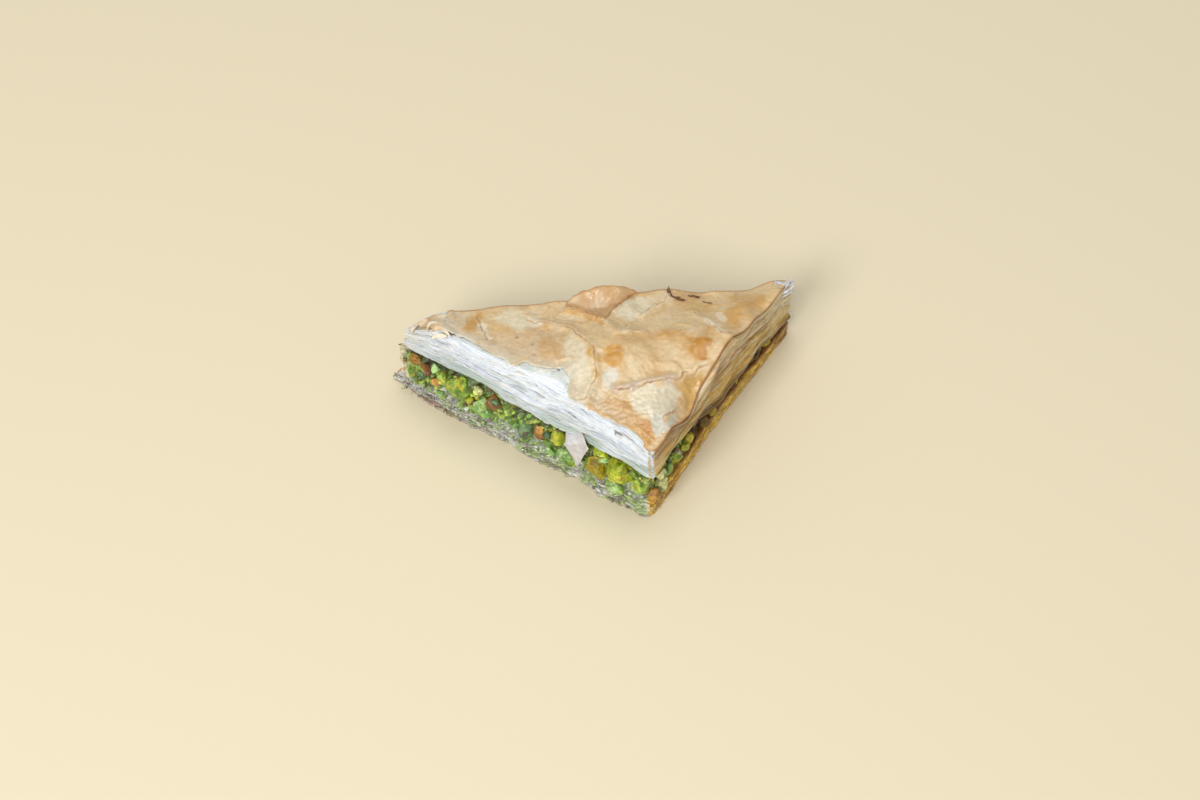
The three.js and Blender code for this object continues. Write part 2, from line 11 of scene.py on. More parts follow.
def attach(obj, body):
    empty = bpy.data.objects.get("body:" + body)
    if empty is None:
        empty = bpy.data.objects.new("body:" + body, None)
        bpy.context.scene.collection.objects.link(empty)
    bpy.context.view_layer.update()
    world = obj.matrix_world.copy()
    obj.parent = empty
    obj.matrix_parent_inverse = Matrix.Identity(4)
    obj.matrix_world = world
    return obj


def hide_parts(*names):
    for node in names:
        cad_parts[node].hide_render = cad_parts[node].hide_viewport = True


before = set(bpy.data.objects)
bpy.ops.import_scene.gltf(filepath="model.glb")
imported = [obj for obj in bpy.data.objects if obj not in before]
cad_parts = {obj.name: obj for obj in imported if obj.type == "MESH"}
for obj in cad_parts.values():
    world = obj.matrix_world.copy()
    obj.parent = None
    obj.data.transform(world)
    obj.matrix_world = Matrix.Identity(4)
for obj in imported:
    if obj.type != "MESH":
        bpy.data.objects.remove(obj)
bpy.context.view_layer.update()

# ---- Camera ----
# An 85 mm lens looks down on the square corner, from a little left of the piece.
scene = bpy.context.scene
eye = Vector((-0.0724, -0.4776, 0.6819))
aim = Vector((-0.0003, 0.0126, 0.0))
lens = bpy.data.cameras.new("lens")
lens.lens = 85
lens.sensor_width = 36
camera = bpy.data.objects.new("camera", lens)
camera.location = eye
camera.rotation_euler = (aim - eye).to_track_quat("-Z", "Y").to_euler()
scene.collection.objects.link(camera)
scene.camera = camera

# ---- Bottom stack ----
# Half a dozen phyllo leaves at the foot of the tray, soaked flat by the syrup, so that they are
# thin, dense and half clear. A knife has cut them, and their edges are torn and stand out a little.
mm = 0.001
# The frame's zero is the middle of the footprint's box. The plan's middle lies this far from it.
layers_from_middle = np.array([-0.18, -0.84, 0.0])
back_edge, left_edge, right_edge = 119.0, 91.4, 80.4
front_along = (left_edge**2 - right_edge**2 + back_edge**2) / (2 * back_edge)
plan_depth = math.sqrt(left_edge**2 - front_along**2)
left_tip = np.array([-back_edge / 2, plan_depth / 2])
right_tip = np.array([back_edge / 2, plan_depth / 2])
front_corner = np.array([front_along - back_edge / 2, -plan_depth / 2])
middle = (left_tip + right_tip + front_corner) / 3
sides = {
    "right": (front_corner, right_tip),
    "back": (right_tip, left_tip),
    "left": (left_tip, front_corner),
}
layer_gap = 0.3

# across, out: shares of the back edge and of the depth. Then the tops of base, filling and stack.
height_posts = (
    (0.57, 1.0, 4.8, 20.8, 33.6),
    (0.484, 0.85, 5.0, 23.2, 35.0),
    (0.388, 0.68, 5.0, 22.0, 35.8),
    (0.28, 0.5, 4.6, 19.2, 36.2),
    (0.165, 0.29, 4.7, 22.2, 34.0),
    (0.1, 0.19, 4.6, 18.6, 33.2),
    (0.0, 0.0, 4.2, 18.0, 23.4),
    (0.69, 0.75, 5.4, 25.0, 36.0),
    (0.72, 0.65, 5.6, 16.8, 35.6),
    (0.78, 0.5, 6.2, 13.2, 37.8),
    (0.89, 0.27, 5.8, 14.2, 34.0),
    (0.957, 0.1, 4.9, 10.0, 32.6),
    (1.0, 0.0, 4.4, 6.4, 23.0),
    (0.9, 0.0, 5.2, 9.8, 20.4),
    (0.8, 0.0, 5.6, 11.0, 23.8),
    (0.66, 0.0, 5.5, 13.8, 29.0),
    (0.52, 0.0, 5.4, 16.0, 30.4),
    (0.36, 0.0, 5.1, 16.2, 29.8),
    (0.22, 0.0, 5.0, 15.6, 29.2),
    (0.53, 0.42, 5.6, 18.8, 37.4),
)
post_reach = 7


def height_of(layer, x, y):
    """The height of a layer's upper face: the posts' heights, weighted by how near each stands."""
    column = {"base": 2, "filling": 3, "top": 4}[layer]
    total = weights = 0
    for post in height_posts:
        px = left_tip[0] + post[0] * back_edge
        py = left_tip[1] - post[1] * plan_depth
        weight = ((x - px) ** 2 + (y - py) ** 2 + post_reach**2) ** -1.5
        total = total + weight * post[column]
        weights = weights + weight
    return total / weights


# side, place and width as shares of the side, and how far the side swells out there or lies in.
side_swells = (
    ("left", 0.25, 0.2, 3.1), ("left", 0.58, 0.1, 0.9), ("left", 0.82, 0.08, 1.3),
    ("right", 0.55, 0.3, -1.2), ("back", 0.5, 0.3, 0.5),
)


def bell(value):
    """A smooth bump: 1 where the value is 0, and almost nothing from 2 on."""
    return np.exp(-np.square(value))


def swell_of(side, along):
    """How far the cut side stands out of its straight line there."""
    out = 0.0
    for name, at, width, height in side_swells:
        out = out + height * bell((along - at) / width) * (side == name)
    return out


def square_to(ahead):
    """Unit steps to the right of each direction."""
    return np.stack([ahead[:, 1], -ahead[:, 0]], 1) / np.hypot(*ahead.T)[:, None]


class Ring:
    """A layer's outline: evenly spaced points, each with its side and its share of the way round."""

    def __init__(self, count, trim, rounding):
        corners = (front_corner, right_tip, left_tip)
        at = [c + (middle - c) / np.hypot(*(middle - c)) * t for c, t in zip(corners, trim)]
        path = []
        for i, radius in enumerate(rounding):
            before, after = at[i - 1] - at[i], at[(i + 1) % 3] - at[i]
            enter = at[i] + before / np.hypot(*before) * radius
            leave = at[i] + after / np.hypot(*after) * radius
            t = np.linspace(0, 1, 14)[:, None]
            path.append((1 - t) ** 2 * enter + 2 * t * (1 - t) * at[i] + t**2 * leave)
        path = np.vstack(path + [path[0][:1]])
        length = np.r_[0, np.cumsum(np.hypot(*np.diff(path, axis=0).T))]
        self.share = np.arange(count) / count
        here = self.share * length[-1]
        self.at = np.stack([np.interp(here, length, path[:, k]) for k in (0, 1)], 1)
        away = self.at - middle
        self.away = away / np.hypot(*away.T)[:, None]
        self.square = square_to(np.roll(self.at, -1, axis=0) - np.roll(self.at, 1, axis=0))
        nearest = np.full(count, np.inf)
        self.side = np.full(count, "right", dtype=object)
        self.along = np.zeros(count)
        for name, (start, end) in sides.items():
            line = end - start
            along = (self.at - start) @ line / (line @ line)
            distance = np.hypot(*(start + along[:, None] * line - self.at).T)
            closer = distance < nearest - 1e-9
            nearest = np.where(closer, distance, nearest)
            self.side[closer] = name
            self.along[closer] = np.clip(along[closer], 0, 1)

    def by_side(self, ease=0, **values):
        """A value for each side, eased round the corners over a number of points."""
        value = np.array([values[name] for name in self.side], float)
        return np.mean([np.roll(value, shift) for shift in range(-ease, ease + 1)], axis=0)

    def at_offset(self, out):
        """The ring's points moved away from the middle, and never past it."""
        reach = np.hypot(*(self.at - middle).T)
        return middle + self.away * np.maximum(reach + out, 0.002 * reach)[:, None]


def ripple(share, count, phase=0.0):
    """A number of even waves round the outline."""
    return np.sin(2 * np.pi * count * share + phase)


def drift(x, y, z, size, seed=0):
    """Smooth random values from about -1 to 1, which change over a distance of size."""
    lattice = np.random.default_rng(seed).uniform(-1, 1, (48, 48, 48))
    x, y, z = np.broadcast_arrays(x, y, z)
    q = np.stack([x, y, z], -1) / size + 71.7
    cell = np.floor(q).astype(int)
    t = q - cell
    t = t * t * (3 - 2 * t)
    value = 0
    for corner in range(8):
        bits = np.array([corner & 1, corner >> 1 & 1, corner >> 2 & 1])
        weight = np.where(bits, t, 1 - t).prod(-1)
        i, j, k = np.moveaxis((cell + bits) % 48, -1, 0)
        value = value + weight * lattice[i, j, k]
    return value * 1.5


def paint(red, green, blue):
    """A colour as a paint card gives it, 0 to 255, as the linear shares that a shader takes."""
    c = np.array([red, green, blue]) / 255
    return np.where(c <= 0.04045, c / 12.92, ((c + 0.055) / 1.055) ** 2.4)


def blend(first, second, share):
    """A mix of two colours, with this share of the second."""
    share = np.clip(np.asarray(share, float), 0, 1)[..., None]
    return first * (1 - share) + second * share


def ramp(value, low, high):
    """A smooth rise, from 0 at low to 1 at high."""
    t = np.clip((value - low) / (high - low), 0, 1)
    return t * t * (3 - 2 * t)


def pastry_piece(name, points, faces, tint, material, wet=0.0):
    """A mesh object from points in millimetres and from its faces. It has a tint at each point,
    and a share there of how wet with syrup or butter it is."""
    groups = [np.asarray(f) for f in (faces if isinstance(faces, list) else [faces])]
    mesh = bpy.data.meshes.new(name)
    mesh.vertices.add(len(points))
    mesh.vertices.foreach_set("co", ((points + layers_from_middle) * mm).ravel())
    corners = np.concatenate([f.ravel() for f in groups])
    sizes = np.concatenate([np.full(len(f), f.shape[1]) for f in groups])
    mesh.loops.add(len(corners))
    mesh.loops.foreach_set("vertex_index", corners)
    mesh.polygons.add(len(sizes))
    mesh.polygons.foreach_set("loop_start", np.r_[0, np.cumsum(sizes)[:-1]])
    mesh.polygons.foreach_set("use_smooth", np.ones(len(sizes), bool))
    mesh.update(calc_edges=True)
    mesh.validate()
    colour = mesh.color_attributes.new("tint", "FLOAT_COLOR", "POINT")
    tint = np.broadcast_to(tint, (len(points), 3))
    colour.data.foreach_set("color", np.c_[tint, np.ones(len(points))].ravel())
    wetness = mesh.attributes.new("wet", "FLOAT", "POINT")
    wetness.data.foreach_set("value", np.broadcast_to(wet, len(points)).astype(np.float32))
    mesh.materials.append(material)
    made = bpy.data.objects.new(name, mesh)
    scene.collection.objects.link(made)
    return made


def belongs_to(piece, node):
    """A piece of the pastry stands for the layer that it is part of, and lies still with it."""
    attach(piece, "root")
    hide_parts(node)


def between_loops(count, loops, closed):
    """Faces between loops of count points each. Closed joins the last loop to the first."""
    i = np.arange(count)
    j = (i + 1) % count
    quads = []
    for a in range(loops if closed else loops - 1):
        b = (a + 1) % loops
        quads.append(np.stack([a * count + i, a * count + j, b * count + j, b * count + i], 1))
    return np.vstack(quads)


def leaf_rims(ring, out, upper, lower, insets, colour):
    """A pile of thin leaves, each as the closed rim of one. out[k] is how far leaf k's edge stands
    from the ring. upper and lower give the heights of its faces, and colour gives its tint."""
    count = len(ring.share)
    points, faces, tint = [], [], []
    for k in range(len(out)):
        loops = []
        for face, order in ((upper, insets), (lower, insets[::-1])):
            for inset in order:
                plan = ring.at_offset(out[k] - inset)
                loops.append(np.c_[plan, face(k, plan)])
                tint.append(colour(k, plan, inset))
        faces.append(between_loops(count, len(loops), closed=True) + len(points) * count)
        points.extend(loops)
    return np.vstack(points), np.vstack(faces), np.vstack(tint)


def pastry(name, roughness, coat=0.0, coat_roughness=0.1, inner=0.15, mottle=0.12, mottle_size=1.2,
           grain_size=0.5, grain=0.25, grain_depth=0.1, layered=1.0, clear=0.0, shine=0.5):
    """A shader that takes its colour from the mesh, mottled, and that light enters a little way.
    Sizes and depths are in millimetres, and layered is how much finer they are upwards."""
    material = bpy.data.materials.new(name)
    material.use_nodes = True
    nodes, links = material.node_tree.nodes, material.node_tree.links
    shader = nodes["Principled BSDF"]
    squeezed = nodes.new("ShaderNodeMapping")
    squeezed.inputs["Scale"].default_value = (1, 1, layered)
    links.new(nodes.new("ShaderNodeTexCoord").outputs["Object"], squeezed.inputs["Vector"])

    def speckle(size, detail):
        noise = nodes.new("ShaderNodeTexNoise")
        noise.inputs["Scale"].default_value = 1 / (size * mm)
        noise.inputs["Detail"].default_value = detail
        links.new(squeezed.outputs["Vector"], noise.inputs["Vector"])
        return noise.outputs["Fac"]

    def spread(value, low, high):
        level = nodes.new("ShaderNodeMapRange")
        level.inputs["From Min"].default_value = 0.3
        level.inputs["From Max"].default_value = 0.7
        level.inputs["To Min"].default_value = low
        level.inputs["To Max"].default_value = high
        links.new(value, level.inputs["Value"])
        return level.outputs["Result"]

    def held_by(name, output):
        attribute = nodes.new("ShaderNodeAttribute")
        attribute.attribute_name = name
        return attribute.outputs[output]

    shade = nodes.new("ShaderNodeVectorMath")
    shade.operation = "SCALE"
    links.new(held_by("tint", "Color"), shade.inputs[0])
    links.new(spread(speckle(mottle_size, 4), 1 - mottle, 1 + mottle), shade.inputs["Scale"])
    links.new(shade.outputs["Vector"], shader.inputs["Base Color"])
    drying = nodes.new("ShaderNodeMapRange")
    drying.inputs["To Min"].default_value = 1.0
    drying.inputs["To Max"].default_value = 0.25
    links.new(held_by("wet", "Fac"), drying.inputs["Value"])
    dull = nodes.new("ShaderNodeMath")
    dull.operation = "MULTIPLY"
    links.new(spread(speckle(mottle_size * 1.7, 3), roughness * 0.7, roughness * 1.3), dull.inputs[0])
    links.new(drying.outputs["Result"], dull.inputs[1])
    links.new(dull.outputs["Value"], shader.inputs["Roughness"])
    shader.inputs["Specular IOR Level"].default_value = shine
    shader.inputs["Coat Weight"].default_value = coat
    shader.inputs["Coat Roughness"].default_value = coat_roughness
    shader.inputs["Subsurface Weight"].default_value = inner
    shader.inputs["Subsurface Radius"].default_value = (1.0, 0.75, 0.5)
    shader.inputs["Subsurface Scale"].default_value = 1.2 * mm
    shader.inputs["Transmission Weight"].default_value = clear
    bump = nodes.new("ShaderNodeBump")
    bump.inputs["Strength"].default_value = grain
    bump.inputs["Distance"].default_value = grain_depth * mm
    links.new(speckle(grain_size, 3), bump.inputs["Height"])
    links.new(bump.outputs["Normal"], shader.inputs["Normal"])
    return material


base_leaves = 6
base_ring = Ring(count=520, trim=(-0.4, -1.8, -2.0), rounding=(3, 3.5, 4.5))
base_swell = swell_of(base_ring.side, base_ring.along)
base_fray = base_ring.by_side(left=1.0, right=0.4, back=0.7)
base_left = base_ring.by_side(ease=3, left=1, right=0, back=0)
soaked_tint = {"left": paint(204, 202, 194), "right": paint(240, 196, 88), "back": paint(200, 156, 96)}
soaked_dark = {"left": paint(158, 148, 138), "right": paint(164, 108, 24), "back": paint(136, 92, 50)}
# Nut dust lies on the steps of the left side.
ground_nut = paint(158, 182, 100)
mauve = paint(164, 124, 108)
burnt_syrup_and_gap_shade = paint(134, 82, 40)
# On the left, each leaf lies this much further in than the one below it.
left_step = 0.55


def base_face(k, plan, part):
    """A leaf lies on the one below it, squeezed thinner and thicker along the cut."""
    x, y = plan.T
    level = (k + part) / base_leaves
    if k + part > 0:
        level = level + 0.35 * drift(x, y, 3 * k, 13, 5) / base_leaves
    crinkle = (0.10 + 0.12 * base_left) * drift(x, y, 9 * k, 1.5, 6) * (k > 0)
    return np.clip(height_of("base", x, y) * level + crinkle, 0.0, None)


base_out = []
x, y = base_ring.at.T
for k in range(base_leaves):
    frayed = 0.5 * drift(x, y, 11 * k, 4.5, 1) + 0.5 * drift(x, y, 11 * k, 0.8, 2)
    notch = -2.2 * np.maximum(0, drift(x, y, 17 * k, 6, 3) - 0.45)
    step = 0.1 + left_step * base_left
    base_out.append(base_swell + (frayed + notch) * base_fray - 0.1 - k * step)


def base_colour(k, plan, inset):
    """Soaked through, streaked with dark syrup, and dusted with ground nut on the left. On the right its
    top leaf is painted darker as shade along the gap under the filling.
    """
    x, y = plan.T
    colour = np.array([soaked_tint[name] for name in base_ring.side])
    dark = np.array([soaked_dark[name] for name in base_ring.side])
    colour = blend(colour, dark, 0.75 * ramp(drift(x, y, 5 * k, 5, 8), -0.2, 0.9))
    dusted = base_left * ramp(base_ring.along, 0.1, 0.3) * ramp(drift(x, y, 7 * k, 2.6, 10), -0.4, 0.5)
    colour = blend(colour, ground_nut, 0.75 * dusted)
    base_right = base_ring.side == "right"
    right_end = base_right * ramp(base_ring.along, 0.78, 0.92)
    colour = blend(colour, burnt_syrup_and_gap_shade, 0.75 * right_end * ramp(drift(x, y, 3 * k, 4, 7), -0.8, 0.4))
    # Painted shade along the gap under the filling, on the top leaf of the right side.
    if k == base_leaves - 1:
        colour = blend(colour, burnt_syrup_and_gap_shade, 0.8 * base_right * ramp(base_ring.along, 0.15, 0.3))
    if k == 0:
        colour = blend(colour, mauve, base_left * (0.75 - 0.55 * ramp(base_ring.along, 0.1, 0.5)))
    return colour * (0.78 + 0.44 * ramp(drift(x, y, 31 * k, 1.2, 9), -1, 1))[:, None]


base_stack = pastry_piece(
    "soaked_leaves",
    *leaf_rims(
        base_ring,
        base_out,
        lambda k, plan: base_face(k, plan, 0.96),
        lambda k, plan: base_face(k, plan, 0.0),
        insets=[0.0, 0.4, 1.6, 8.0, 99.0],
        colour=base_colour,
    ),
    pastry("soaked_phyllo", 0.3, coat=0.4, coat_roughness=0.1, inner=0.4, mottle=0.34, shine=0.3,
           mottle_size=0.8, grain=0.8, grain_size=0.6, grain_depth=0.3, layered=2.0),
)
belongs_to(base_stack, "phyllo_base")

# ---- Pistachio filling ----
# Coarsely chopped pistachios, packed between the stacks and glued by the syrup. The cut sides show
# whole lumps with flat knife faces and bits of skin, set in a mass of crumb and syrup whose gaps
# are painted dark as shade.
filling_swell = 0.85
core_inset = 1.3
core_sag = 0.7
# Painted shade for the gaps between crumbs, under the stack and under the nuts; the next is for the
# foot.
painted_crumb_shade = paint(46, 36, 14)
painted_foot_shade = paint(104, 104, 92)
# A crust of dried syrup and crumbs at the left tip: it thins out between these two distances.
left_crust = paint(226, 214, 172)
crust_full, crust_end = 4.5, 7.0
# Colours of the crumbs. At the foot of the left side they are grey with ground skin and syrup.
crumb_colours = {
    "left": (paint(156, 186, 84), paint(110, 146, 46), paint(184, 204, 96), paint(96, 122, 52),
             paint(160, 192, 118), paint(128, 162, 80), paint(190, 190, 84), paint(104, 92, 64)),
    "foot": (paint(150, 178, 116), paint(188, 198, 178), paint(150, 148, 150), paint(156, 188, 112),
             paint(124, 154, 84), paint(206, 212, 204), paint(128, 120, 112), paint(164, 166, 172)),
    "right": (paint(96, 62, 0), paint(74, 42, 0), paint(122, 88, 0), paint(56, 30, 0),
              paint(90, 72, 0), paint(46, 24, 0)),
    "back": (paint(136, 148, 66), paint(112, 118, 50), paint(168, 144, 76), paint(112, 86, 46),
             paint(160, 172, 100)),
}
# The right side is as green as the left up to this share of it, and mixed up to the next.
green_corner = 0.27
mixed_corner = 0.3


def block(ring, face, upper, lower, rows, rings=8):
    """A closed layer: underside, cut side and lid. face(depth) is how far its side stands out of
    the ring, from depth 0 at the lid to 1 at the foot."""
    count = len(ring.share)
    lid, foot = (ring.at_offset(face(depth)) for depth in (0, 1))
    loops = []
    for share in np.arange(1, rings) / rings:
        plan = middle + (foot - middle) * share
        loops.append(np.c_[plan, lower(*plan.T)])
    high, low = upper(*lid.T), lower(*foot.T)
    for depth in np.linspace(1, 0, rows):
        loops.append(np.c_[ring.at_offset(face(depth)), high + (low - high) * depth])
    for share in np.arange(rings - 1, 0, -1) / rings:
        plan = middle + (lid - middle) * share
        loops.append(np.c_[plan, upper(*plan.T)])
    points = np.vstack(loops + [[[*middle, lower(*middle)], [*middle, upper(*middle)]]])
    i = np.arange(count)
    j = (i + 1) % count
    last = count * (len(loops) - 1)
    foot_cap = np.c_[np.full(count, len(points) - 2), j, i]
    lid_cap = np.c_[np.full(count, len(points) - 1), i + last, j + last]
    walls = between_loops(count, len(loops), closed=False)
    return points, [walls, np.vstack([foot_cap, lid_cap])]


def filling_upper(x, y):
    return height_of("filling", x, y)


def filling_lower(x, y):
    return height_of("base", x, y) + layer_gap


core_ring = Ring(count=1040, trim=(1.5, 4, 0.4), rounding=(4, 6, 5))
core_swell = filling_swell * swell_of(core_ring.side, core_ring.along)
core_rows = 46
core_rings = 8
coarse_crumbs, fine_crumbs = 2400, 10000
coarse_relief, fine_relief = 1.1, 0.25


def core_face(depth):
    """How far the mass of crumbs stands out of its ring, hollow under the stack."""
    x, y = core_ring.at.T
    hollow = 0.7 * drift(x, y, 14 * depth, 3.2, 31) - 2.4 * ramp(0.18 - depth, 0.0, 0.18)
    return core_swell - core_inset + 0.5 * ripple(core_ring.share, 13, 6 * depth) + hollow


def crusted(at):
    """How much of the left tip's crust lies on each point."""
    return ramp(-np.hypot(*(at[:, :2] - left_tip).T), -crust_end, -crust_full)


def crumb_cells(points, count, seed):
    """Shares a surface out among scattered crumbs with slanting faces. Gives each point's crumb,
    how far the point is from the gap to the next one, and how high the crumb's face is there."""
    draw = np.random.default_rng(seed)
    centres = points[draw.integers(0, len(points), count)] + draw.normal(0, 0.35, (count, 3))
    slant = draw.normal(0, 0.45, (count, 3))
    tree = KDTree(count)
    for i, centre in enumerate(centres):
        tree.insert(centre, i)
    tree.balance()
    found = [tree.find_n(p, 2) for p in points]
    crumb = np.array([near[0][1] for near in found])
    gap = np.array([near[1][2] - near[0][2] for near in found])
    return crumb, gap, ((points - centres[crumb]) * slant[crumb]).sum(-1)


core_points, core_faces = block(
    core_ring,
    core_face,
    lambda x, y: filling_upper(x, y) - core_sag,
    lambda x, y: filling_lower(x, y) - 0.2,
    rows=core_rows,
    rings=core_rings,
)
side_start = (core_rings - 1) * len(core_ring.share)
on_side = slice(side_start, side_start + core_rows * len(core_ring.share))
cut_side = core_points[on_side]
core_draw = np.random.default_rng(36)
coarse, coarse_gap, coarse_face = crumb_cells(cut_side, coarse_crumbs, 34)
fine, fine_gap, fine_face = crumb_cells(cut_side, fine_crumbs, 35)


def zones(names, along, depth, x, y):
    """Which of the crumb colours each place on the cut sides has."""
    names = np.where((names == "right") & (along < green_corner), "left", names.astype(str))
    low = depth + 0.3 * drift(x, y, 9 * depth, 3, 37) > 0.66
    return np.where((names == "left") & low, "foot", names)


around = len(core_ring.share)
core_depth = np.repeat(np.linspace(1, 0, core_rows), around)
core_zone = zones(
    np.tile(core_ring.side, core_rows), np.tile(core_ring.along, core_rows), core_depth, *cut_side.T[:2]
)
in_foot = core_zone == "foot"
stands = coarse_relief * (1 - np.exp(-coarse_gap / 0.35)) + np.clip(coarse_face, -0.5, 0.5)
stands = stands + core_draw.uniform(-0.4, 0.4, coarse_crumbs)[coarse]
stands = np.where(in_foot, 0.5 + 0.35 * stands, stands)
stands = stands + fine_relief * (1 - np.exp(-fine_gap / 0.15)) + 0.5 * np.clip(fine_face, -0.3, 0.3)
stands = stands * ramp(core_depth, -0.02, 0.1)
core_points[on_side, :2] += np.tile(core_ring.square, (core_rows, 1)) * stands[:, None]
pick = core_draw.random(coarse_crumbs)
fine_pick = core_draw.random(fine_crumbs)
core_tint = np.tile(painted_crumb_shade, (len(core_points), 1))
for name, colours in crumb_colours.items():
    # Painted shade darkens each crumb towards the gaps round it.
    shadowed = 0.9 * np.exp(-coarse_gap / 0.16) + 0.3 * np.exp(-fine_gap / 0.08)
    if name == "foot":
        chosen = np.array(colours)[(fine_pick * len(colours)).astype(int)[fine]]
        chosen = chosen * core_draw.uniform(0.75, 1.25, fine_crumbs)[fine][:, None]
        chosen = blend(chosen, painted_foot_shade, 0.5 * shadowed)
    else:
        chosen = np.array(colours)[(pick * len(colours)).astype(int)[coarse]]
        chosen = chosen * core_draw.uniform(0.6, 1.3, coarse_crumbs)[coarse][:, None]
        chosen = chosen * core_draw.uniform(0.8, 1.2, fine_crumbs)[fine][:, None]
        chosen = blend(chosen, painted_crumb_shade, shadowed)
        # Painted shadow darkens the top rows, under the overhanging stack.
        chosen = blend(chosen, painted_crumb_shade, 0.7 * ramp(0.2 - core_depth, 0, 0.14))
    here = np.where(core_zone == name)[0]
    core_tint[side_start + here] = chosen[here]
crust_tint = left_crust * core_draw.uniform(0.7, 1.05, len(core_points))[:, None]
core_tint = blend(core_tint, crust_tint, 0.85 * crusted(core_points))
nut_finish = dict(coat=0.3, coat_roughness=0.1, inner=0.2, shine=0.3)
filling_core = pastry_piece(
    "crumb_mass", core_points, core_faces, core_tint,
    pastry("crumb_and_syrup", 0.35, **nut_finish, mottle=0.25, mottle_size=0.6, grain=0.6,
           grain_size=0.35, grain_depth=0.2),
)
belongs_to(filling_core, "pistachio_filling")

# Colours of a nut: its outside with the thin skin, and its cut flesh.
nut_colours = {
    "green": (paint(98, 138, 34), paint(166, 192, 82)),
    "lime": (paint(116, 140, 16), paint(186, 196, 50)),
    "mint": (paint(124, 168, 84), paint(186, 218, 150)),
    "pale": (paint(170, 176, 96), paint(220, 218, 158)),
    "yellow": (paint(158, 140, 16), paint(208, 190, 56)),
    "orange": (paint(146, 98, 34), paint(196, 148, 74)),
    "brown": (paint(110, 70, 28), paint(158, 106, 54)),
    "olive": (paint(86, 62, 2), paint(130, 100, 8)),
    "dusk": (paint(76, 96, 62), paint(120, 150, 104)),
}
purple_skin = paint(92, 64, 66)

# Each larger nut: its side and its share of the way along it, level, width, height and colour.
large_nuts = (
    ("left", 0.085, 9.2, 3.6, 4.4, "green"),
    ("left", 0.1, 16.4, 4.2, 3.0, "orange"),
    ("left", 0.13, 12.2, 3.0, 3.0, "dusk"),
    ("left", 0.15, 15.8, 4.0, 3.2, "brown"),
    ("left", 0.189, 13.0, 3.0, 3.0, "orange"),
    ("left", 0.221, 17.4, 3.6, 4.0, "green"),
    ("left", 0.281, 16.6, 7.8, 9.8, "green"),
    ("left", 0.352, 19.4, 3.0, 3.0, "pale"),
    ("left", 0.355, 12.4, 5.0, 10.0, "mint"),
    ("left", 0.411, 15.6, 4.8, 6.0, "brown"),
    ("left", 0.516, 12.0, 7.4, 8.0, "dusk"),
    ("left", 0.527, 7.2, 3.0, 3.2, "green"),
    ("left", 0.585, 14.2, 3.6, 4.0, "orange"),
    ("left", 0.622, 7.0, 4.0, 3.0, "mint"),
    ("left", 0.652, 16.2, 4.2, 9.0, "lime"),
    ("left", 0.666, 8.6, 5.0, 6.0, "mint"),
    ("left", 0.695, 6.8, 3.6, 3.2, "green"),
    ("left", 0.804, 13.2, 7.0, 8.6, "yellow"),
    ("left", 0.815, 20.6, 5.2, 3.4, "lime"),
    ("left", 0.87, 7.6, 7.2, 4.8, "mint"),
    ("left", 0.884, 15.4, 8.6, 10.4, "lime"),
    ("left", 0.952, 11.8, 5.0, 5.6, "green"),
    ("right", 0.043, 8.0, 3.8, 5.0, "orange"),
    ("right", 0.07, 15.4, 3.0, 3.0, "pale"),
    ("right", 0.082, 11.2, 3.6, 3.4, "pale"),
    ("right", 0.1, 7.2, 3.8, 3.6, "pale"),
    ("right", 0.134, 11.8, 3.8, 4.6, "mint"),
    ("right", 0.184, 13.0, 4.8, 5.2, "green"),
    ("right", 0.283, 12.2, 3.4, 4.4, "yellow"),
    ("right", 0.405, 9.4, 3.6, 4.2, "olive"),
    ("right", 0.462, 8.6, 3.4, 3.4, "yellow"),
    ("right", 0.605, 8.2, 3.4, 3.2, "brown"),
    ("right", 0.775, 7.8, 3.0, 3.0, "olive"),
)
# Smaller nuts between them: side, number, and smallest and largest width.
strewn_nuts = (("left", 18, 2.4, 3.8), ("right", 18, 2.4, 3.6), ("back", 26, 2.8, 7.4))
strewn_span = {"left": (0.05, 0.97), "right": (0.02, 0.93), "back": (0.05, 0.94)}
strewn_looks = {
    "left": ("green", "mint", "lime", "green", "dusk", "green", "mint", "brown"),
    "right": ("olive", "yellow", "brown", "olive", "olive", "brown"),
    "back": ("green", "lime", "mint", "yellow", "brown", "green", "dusk", "pale"),
}
nut_proud = 0.3
# How far a nut may press up into the stack.
nut_rise = {"left": 1.5, "right": 0.3, "back": 0.0}
# Wider nuts are cut more often, and the widest are made from a finer ball.
wide_nut, widest_nut = 3.4, 4.9


def ball(subdivisions):
    """The points and triangles of a round ball, with a radius of 1."""
    made = bmesh.new()
    bmesh.ops.create_icosphere(made, subdivisions=subdivisions, radius=1)
    points = np.array([v.co[:] for v in made.verts])
    faces = np.array([[v.index for v in f.verts] for f in made.faces])
    made.free()
    return points, faces


# How much the edges of the knife's cuts are rounded.
worn = 0.012


def chopped(points, draw, cuts, knobbly):
    """A lump from a ball of points: knobbly outside, and flat where the knife went through.
    Also gives which points lie on a knife face."""
    x, y, z = (points + draw.uniform(0, 30, 3)).T
    bulge = 1 + knobbly * (drift(x, y, z, 0.9, 41) + 0.45 * drift(x, y, z, 0.33, 42))
    lump = points * bulge[:, None]
    fresh = np.zeros(len(points))
    for _ in range(cuts):
        facing = draw.normal(size=3)
        facing /= np.linalg.norm(facing)
        beyond = lump @ facing - draw.uniform(0.4, 0.85)
        beyond = (beyond + np.sqrt(beyond**2 + worn)) / 2
        lump = lump - facing * 0.94 * beyond[:, None]
        fresh = np.maximum(fresh, ramp(beyond, 0.06, 0.14))
    low, high = lump.min(0), lump.max(0)
    return (2 * lump - low - high) / (high - low), fresh


